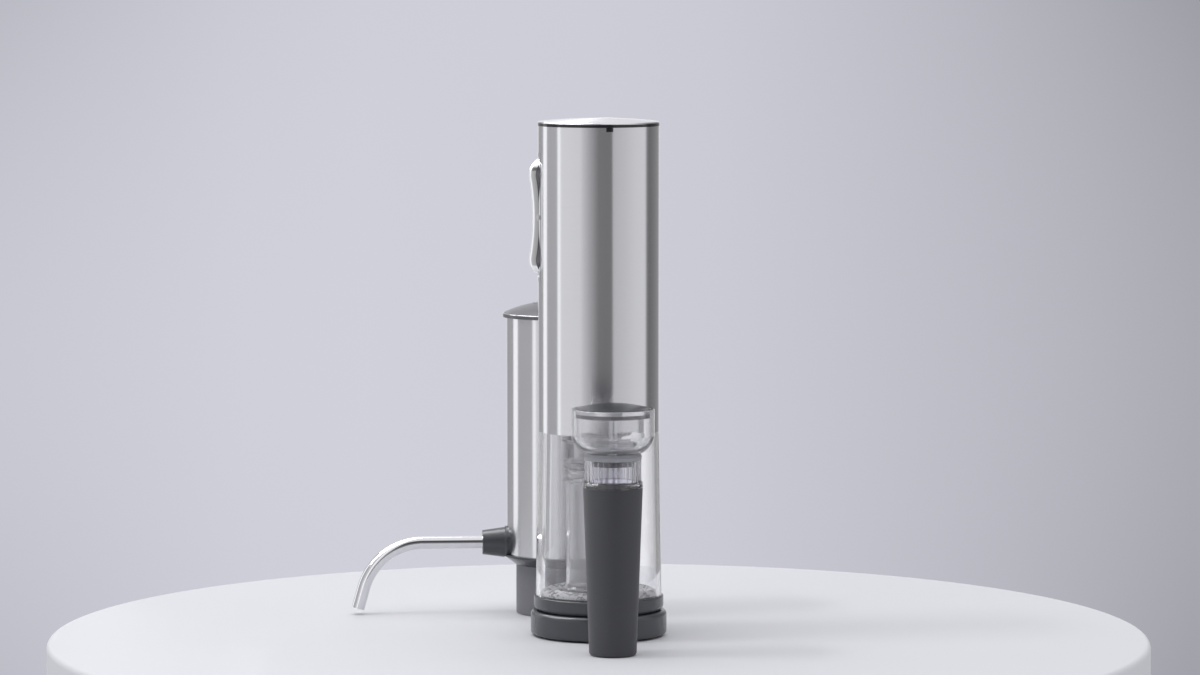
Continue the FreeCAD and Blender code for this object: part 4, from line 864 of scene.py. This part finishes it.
class WINESET_OT_rocker(bpy.types.Operator):
    """Model the two-lobed rocker: a bright skin, a grey core and a boss at each end of its pin"""

    bl_idname = "wineset.rocker"
    bl_label = "Rocker"

    def execute(self, context):
        low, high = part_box("rocker_button")
        height = (low.z + high.z) / 2
        self.make_skin(height)
        self.make_core(height)
        self.make_bosses(height)
        return {"FINISHED"}

    def make_skin(self, height):
        size = sizes()
        skin = obround("rocker_skin", size.rocker_long, size.rocker_wide,
                       size.rocker_rise - size.rocker_thick, height)
        wall = size.rocker_thick - size.rocker_round
        bpy.ops.mesh.extrude_region_move(TRANSFORM_OT_translate={"value": (-wall, 0.0, 0.0)})
        turns = [math.radians(90.0 * step / ROUND_STEPS) for step in range(ROUND_STEPS + 1)]
        for before, after in zip(turns, turns[1:]):
            bpy.ops.mesh.inset(
                thickness=size.rocker_round * (math.cos(before) - math.cos(after)), depth=0.0)
            bpy.ops.transform.translate(
                value=(-size.rocker_round * (math.sin(after) - math.sin(before)), 0.0, 0.0))
        follow_wave(skin, height, 0.0)
        close_solid()
        complete(skin, "rocker", bpy.data.materials["satin_chrome"],
                 ("rocker_button",))

    def make_core(self, height):
        size = sizes()
        deep = size.rocker_rise - size.rocker_thick + size.core_lap
        core = obround("rocker_core", size.rocker_long - size.core_inset,
                       size.rocker_wide - size.core_inset / 2, size.core_foot, height)
        bpy.ops.mesh.extrude_region_move(
            TRANSFORM_OT_translate={"value": (size.core_foot - deep, 0.0, 0.0)})
        follow_wave(core, height, -size.core_foot - NEAR_FOOT)
        close_solid()
        complete(core, "rocker", bpy.data.materials["grey_plastic"])

    def make_bosses(self, height):
        size = sizes()
        low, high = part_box("rocker_pin")
        pin = (low.x + high.x) / 2
        for name, side in (("rocker_boss_front", -1), ("rocker_boss_back", 1)):
            deselect()
            bpy.ops.mesh.primitive_circle_add(vertices=BOSS_SIDES, radius=size.boss_radius,
                                              fill_type="NGON",
                                              location=(pin, side * size.rocker_wide, height),
                                              rotation=(math.pi / 2, 0.0, 0.0))
            boss = start(name)
            bpy.ops.mesh.extrude_region_move(
                TRANSFORM_OT_translate={"value": (0.0, side * size.boss_proud, 0.0)})
            for wide, out in BOSS_RINGS:
                bpy.ops.mesh.inset(thickness=wide * MM)
                bpy.ops.transform.translate(value=(0.0, side * out * MM, 0.0))
            close_solid()
            round_edges(boss, size.boss_round)
            complete(boss, "rocker", bpy.data.materials["satin_chrome"])


class WINESET_OT_indicator(bpy.types.Operator):
    """Model the gloss black indicator that fills the notch in the tube's top edge"""

    bl_idname = "wineset.indicator"
    bl_label = "Indicator"

    def execute(self, context):
        size = sizes()
        low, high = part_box("outer_tube")
        radius = (high.x - low.x) / 2
        turn = math.asin(size.lens_side / radius)
        reach = math.sqrt(radius ** 2 - (size.lens_wide / 2) ** 2) - size.lens_thick / 2
        deselect()
        bpy.ops.mesh.primitive_cube_add(size=1.0, location=(0.0, -reach, high.z - size.lens_drop),
                                        scale=(size.lens_wide, size.lens_thick, size.lens_tall))
        lens = start("indicator_lens")
        bpy.ops.transform.rotate(value=-turn, orient_axis="Z", center_override=(0.0, 0.0, 0.0))
        bpy.ops.object.mode_set(mode="OBJECT")
        if sum(vertex.co.x for vertex in lens.data.vertices) < 0.0:
            raise RuntimeError("the indicator was turned to the wrong side")
        round_edges(lens, size.lens_round, segments=4)
        complete(lens, "opener", bpy.data.materials["gloss_black"])
        return {"FINISHED"}


# ------------------------------------------------------------------------------------- stage
# The studio round the set, as seen in glossy surfaces: the angle from the camera's side, in
# degrees towards the right, and the level of light there, at the height of the set.
STUDIO_LIGHT = [
    (-180, 0.92), (-166, 0.90), (-161, 0.48), (-150, 0.42), (-138, 0.50), (-60, 0.52),
    (-45, 0.86), (-34, 0.86), (0, 0.27), (26, 0.25),
    (29, 0.74), (70, 0.86), (100, 0.92), (105, 0.30), (112, 0.20), (150, 0.34), (161, 0.40),
    (166, 0.80), (180, 0.92),
]
# How much of that is left a little higher up, where the camera's side is a dark room.
STUDIO_RISE = [(-180, 1.0), (-50, 1.0), (-20, 0.30), (50, 0.30), (80, 1.0), (180, 1.0)]
# The ceiling: bright at the left and towards the back.
STUDIO_CEILING = [(-180, 1.08), (-120, 1.30), (-60, 1.30), (-15, 0.98), (40, 0.98), (90, 1.08),
                  (180, 1.08)]
# Where each of these two takes over from the one before it: the sine of the angle above the table
# at which it starts to show, and at which only it does.
RISE_HEIGHTS = (0.08, 0.26)
CEILING_HEIGHTS = (0.58, 0.82)
# Soft panels at the left of the set, which only glossy surfaces show: a narrow one behind, and a
# wide one that runs forward from a brighter edge. Each is its name, where it starts and ends on
# the table, and its level.
PANELS = (
    ("panel_back", (-0.224, 0.164), (-0.256, 0.102), 1.38),
    ("panel_edge", (-0.162, -0.032), (-0.1445, -0.049), 1.32),
    ("panel_wide", (-0.1445, -0.049), (-0.1445, -0.235), 0.90),
)
PANEL_TALL = 0.40
# The wall behind the set, with painted light and shade on it: the angle from straight ahead, in
# degrees towards the right, and the level there. It falls off towards both sides of the view as
# painted shade, and more so in its corners.
WALL_LIGHT = [(-180, 0.97), (-14, 0.92), (-6.9, 0.91), (-3.6, 1.0), (1.2, 0.935), (3.6, 0.83),
              (5.3, 0.745), (6.9, 0.63), (14, 0.80), (30, 0.97), (180, 0.97)]
# How strong the painted shade in the wall's corners is.
WALL_CORNER_SHADE = 0.13
# How far the corners are to the side, how far below the horizon the middle is, and how far the
# corners are above or below it.
WALL_REACH = math.radians(6.9), math.radians(5.0), math.radians(4.0)
# Where the corners' painted shade starts to fade and where it is gone, as angles from straight
# ahead.
CORNER_ENDS = math.radians(12.0), math.radians(28.0)
# The colour of the studio's light, and the plain level that only dims it.
LIGHT_TINT = (1.0, 1.0, 1.03)
NO_TINT = (1.0, 1.0, 1.0)
# The camera's sensor, in millimetres, and how far it sees, in metres.
SENSOR_WIDTH = 36.0
VIEW_END = 50.0


def studio_world():
    """Light from all round: a bright ceiling, soft strips and dark gaps at the sides, and a wall
    that the camera sees in every direction, with painted shade towards the sides and corners of
    the view."""
    world = bpy.data.worlds.new("studio")
    bpy.context.scene.world = world
    tree = Tree(world)
    heading = tree.node("ShaderNodeTexCoord", output="Generated")
    x, y, z = (tree.node("ShaderNodeSeparateXYZ", None, [heading], output=name) for name in "XYZ")

    def strips(turn, levels, tint):
        stops = [(angle / 360 + 0.5, (*(level * part for part in tint), 1.0))
                 for angle, level in levels]
        return tree.ramp(turn / (2 * math.pi) + 0.5, stops)

    turn = tree.maths("ARCTAN2", x, -y)
    sides = strips(turn, STUDIO_LIGHT, LIGHT_TINT)
    raised = tree.mix(tree.fade(z, *RISE_HEIGHTS), sides, strips(turn, STUDIO_RISE, NO_TINT),
                      blend="MULTIPLY")
    round_set = tree.mix(tree.fade(z, *CEILING_HEIGHTS), raised,
                         strips(turn, STUDIO_CEILING, LIGHT_TINT))
    ahead = tree.maths("ARCTAN2", x, y)
    side_reach, level_drop, tall_reach = WALL_REACH
    # Painted shade on the wall: darker towards its corners, near the middle of the view.
    corner = (ahead / side_reach * ((tree.maths("ARCSINE", z) + level_drop) / tall_reach)) ** 2
    near = tree.fade(tree.maths("ABSOLUTE", ahead), *CORNER_ENDS, before=1.0, after=0.0)
    shade = near * tree.node("ShaderNodeClamp", None,
                             [WALL_CORNER_SHADE * corner, 0.0, 2 * WALL_CORNER_SHADE])
    # The wall's painted light levels by angle, darkened by that painted shade.
    seen = tree.mix(shade, strips(ahead, WALL_LIGHT, finishes().backdrop), (0.0, 0.0, 0.0, 1.0))
    camera_ray = tree.node("ShaderNodeLightPath", output="Is Camera Ray")
    shader = tree.node("ShaderNodeBackground", None,
                       {"Color": tree.mix(camera_ray, round_set, seen), "Strength": 1.0})
    tree.node("ShaderNodeOutputWorld", None, [shader])


def facing_set(far, turn, rise):
    """A place above the set's left, and the rotation that faces the set from there."""
    away = math.cos(rise) * far
    place = Vector((-away * math.sin(turn), -away * math.cos(turn), math.sin(rise) * far))
    return place, (-place).to_track_quat("-Z", "Y").to_euler()


class WINESET_OT_stage(bpy.types.Operator):
    """Set the round table, the studio light, the panels, the lamp and the camera"""

    bl_idname = "wineset.stage"
    bl_label = "Stage"

    def execute(self, context):
        studio = context.scene.wine_studio
        self.make_table(studio)
        studio_world()
        self.make_panels(studio)
        self.make_lamp(studio)
        self.make_camera(studio)
        context.scene.view_settings.view_transform = "Standard"
        context.scene.cycles.max_bounces = studio.bounces
        context.scene.cycles.transmission_bounces = studio.bounces
        return {"FINISHED"}

    def make_table(self, studio):
        deselect()
        bpy.ops.mesh.primitive_cylinder_add(vertices=TABLE_SIDES, radius=studio.table_radius,
                                            depth=studio.table_thick,
                                            location=(0.0, 0.0, -studio.table_thick / 2))
        table = start("table")
        bpy.ops.object.mode_set(mode="OBJECT")
        round_edges(table, studio.table_round, segments=6)
        bpy.ops.object.shade_smooth_by_angle(angle=TABLE_SMOOTH_ANGLE)
        material, tree = new_tree("table_white")
        cloud = tree.pattern("table", detail=3.0)
        tree.surface(base_color=tree.shades(cloud, finishes().table, low=0.985, high=1.015),
                     roughness=0.5 + cloud * 0.1, specular_ior_level=0.05)
        table.data.materials.append(material)

    def make_panels(self, studio):
        for name, begin, end, level in PANELS:
            begin, end = Vector(begin), Vector(end)
            across = end - begin
            self.make_panel(name, (*((begin + end) / 2), PANEL_TALL / 2),
                            (math.pi / 2, 0.0, math.atan2(across.y, across.x)),
                            (across.length, PANEL_TALL), level)
        place, turn = facing_set(studio.high_far, studio.high_turn, studio.high_rise)
        self.make_panel("panel_high", place, turn, (studio.high_long, studio.high_wide),
                        studio.high_level)

    def make_panel(self, name, place, turn, size, level):
        deselect()
        bpy.ops.mesh.primitive_plane_add(size=1.0, location=place, rotation=turn)
        bpy.context.object.scale = (*size, 1.0)
        panel = start(name)
        bpy.ops.object.mode_set(mode="OBJECT")
        panel.visible_camera = panel.visible_diffuse = panel.visible_shadow = False
        panel.visible_transmission = panel.visible_volume_scatter = False
        material, tree = new_tree(name)
        light = tree.node("ShaderNodeEmission", None, [(*LIGHT_TINT, 1.0), level])
        tree.node("ShaderNodeOutputMaterial", None, [light])
        panel.data.materials.append(material)

    def make_lamp(self, studio):
        place, turn = facing_set(studio.lamp_far, studio.lamp_turn, studio.lamp_rise)
        bpy.ops.object.light_add(type="AREA", location=place, rotation=turn)
        lamp = bpy.context.object
        lamp.name = "side_lamp"
        lamp.data.shape = "RECTANGLE"
        lamp.data.size = studio.lamp_long
        lamp.data.size_y = studio.lamp_wide
        lamp.data.energy = studio.lamp_power

    def make_camera(self, studio):
        bpy.ops.object.camera_add(
            location=(studio.camera_side, -studio.camera_far, studio.camera_high),
            rotation=(math.pi / 2 - studio.camera_pitch, 0.0, 0.0))
        camera = bpy.context.object
        camera.data.lens = studio.focal
        camera.data.sensor_width = SENSOR_WIDTH
        camera.data.clip_end = VIEW_END
        bpy.context.scene.camera = camera


STEPS = (WINESET_OT_steel_bodies, WINESET_OT_bright_trim, WINESET_OT_plastics,
         WINESET_OT_soft_parts, WINESET_OT_clear_parts, WINESET_OT_inner_works,
         WINESET_OT_springs, WINESET_OT_rocker, WINESET_OT_indicator, WINESET_OT_stage)


class WINESET_PT_tools(bpy.types.Panel):
    """The steps that finish the set, in order"""

    bl_label = "Wine Tool Set"
    bl_idname = "WINESET_PT_tools"
    bl_space_type = "VIEW_3D"
    bl_region_type = "UI"
    bl_category = "Wine Tools"

    def draw(self, context):
        for step in STEPS:
            self.layout.operator(step.bl_idname)


CLASSES = (WineFinishes, WineSizes, WineStudio, *STEPS, WINESET_PT_tools)


def register():
    for item in CLASSES:
        bpy.utils.register_class(item)
    bpy.types.Scene.wine_finishes = PointerProperty(type=WineFinishes)
    bpy.types.Scene.wine_sizes = PointerProperty(type=WineSizes)
    bpy.types.Scene.wine_studio = PointerProperty(type=WineStudio)


def unregister():
    for name in ("wine_studio", "wine_sizes", "wine_finishes"):
        delattr(bpy.types.Scene, name)
    for item in reversed(CLASSES):
        bpy.utils.unregister_class(item)


def main():
    register()
    for step in STEPS:
        group, name = step.bl_idname.split(".")
        getattr(getattr(bpy.ops, group), name)()


if __name__ == "__main__":
    main()
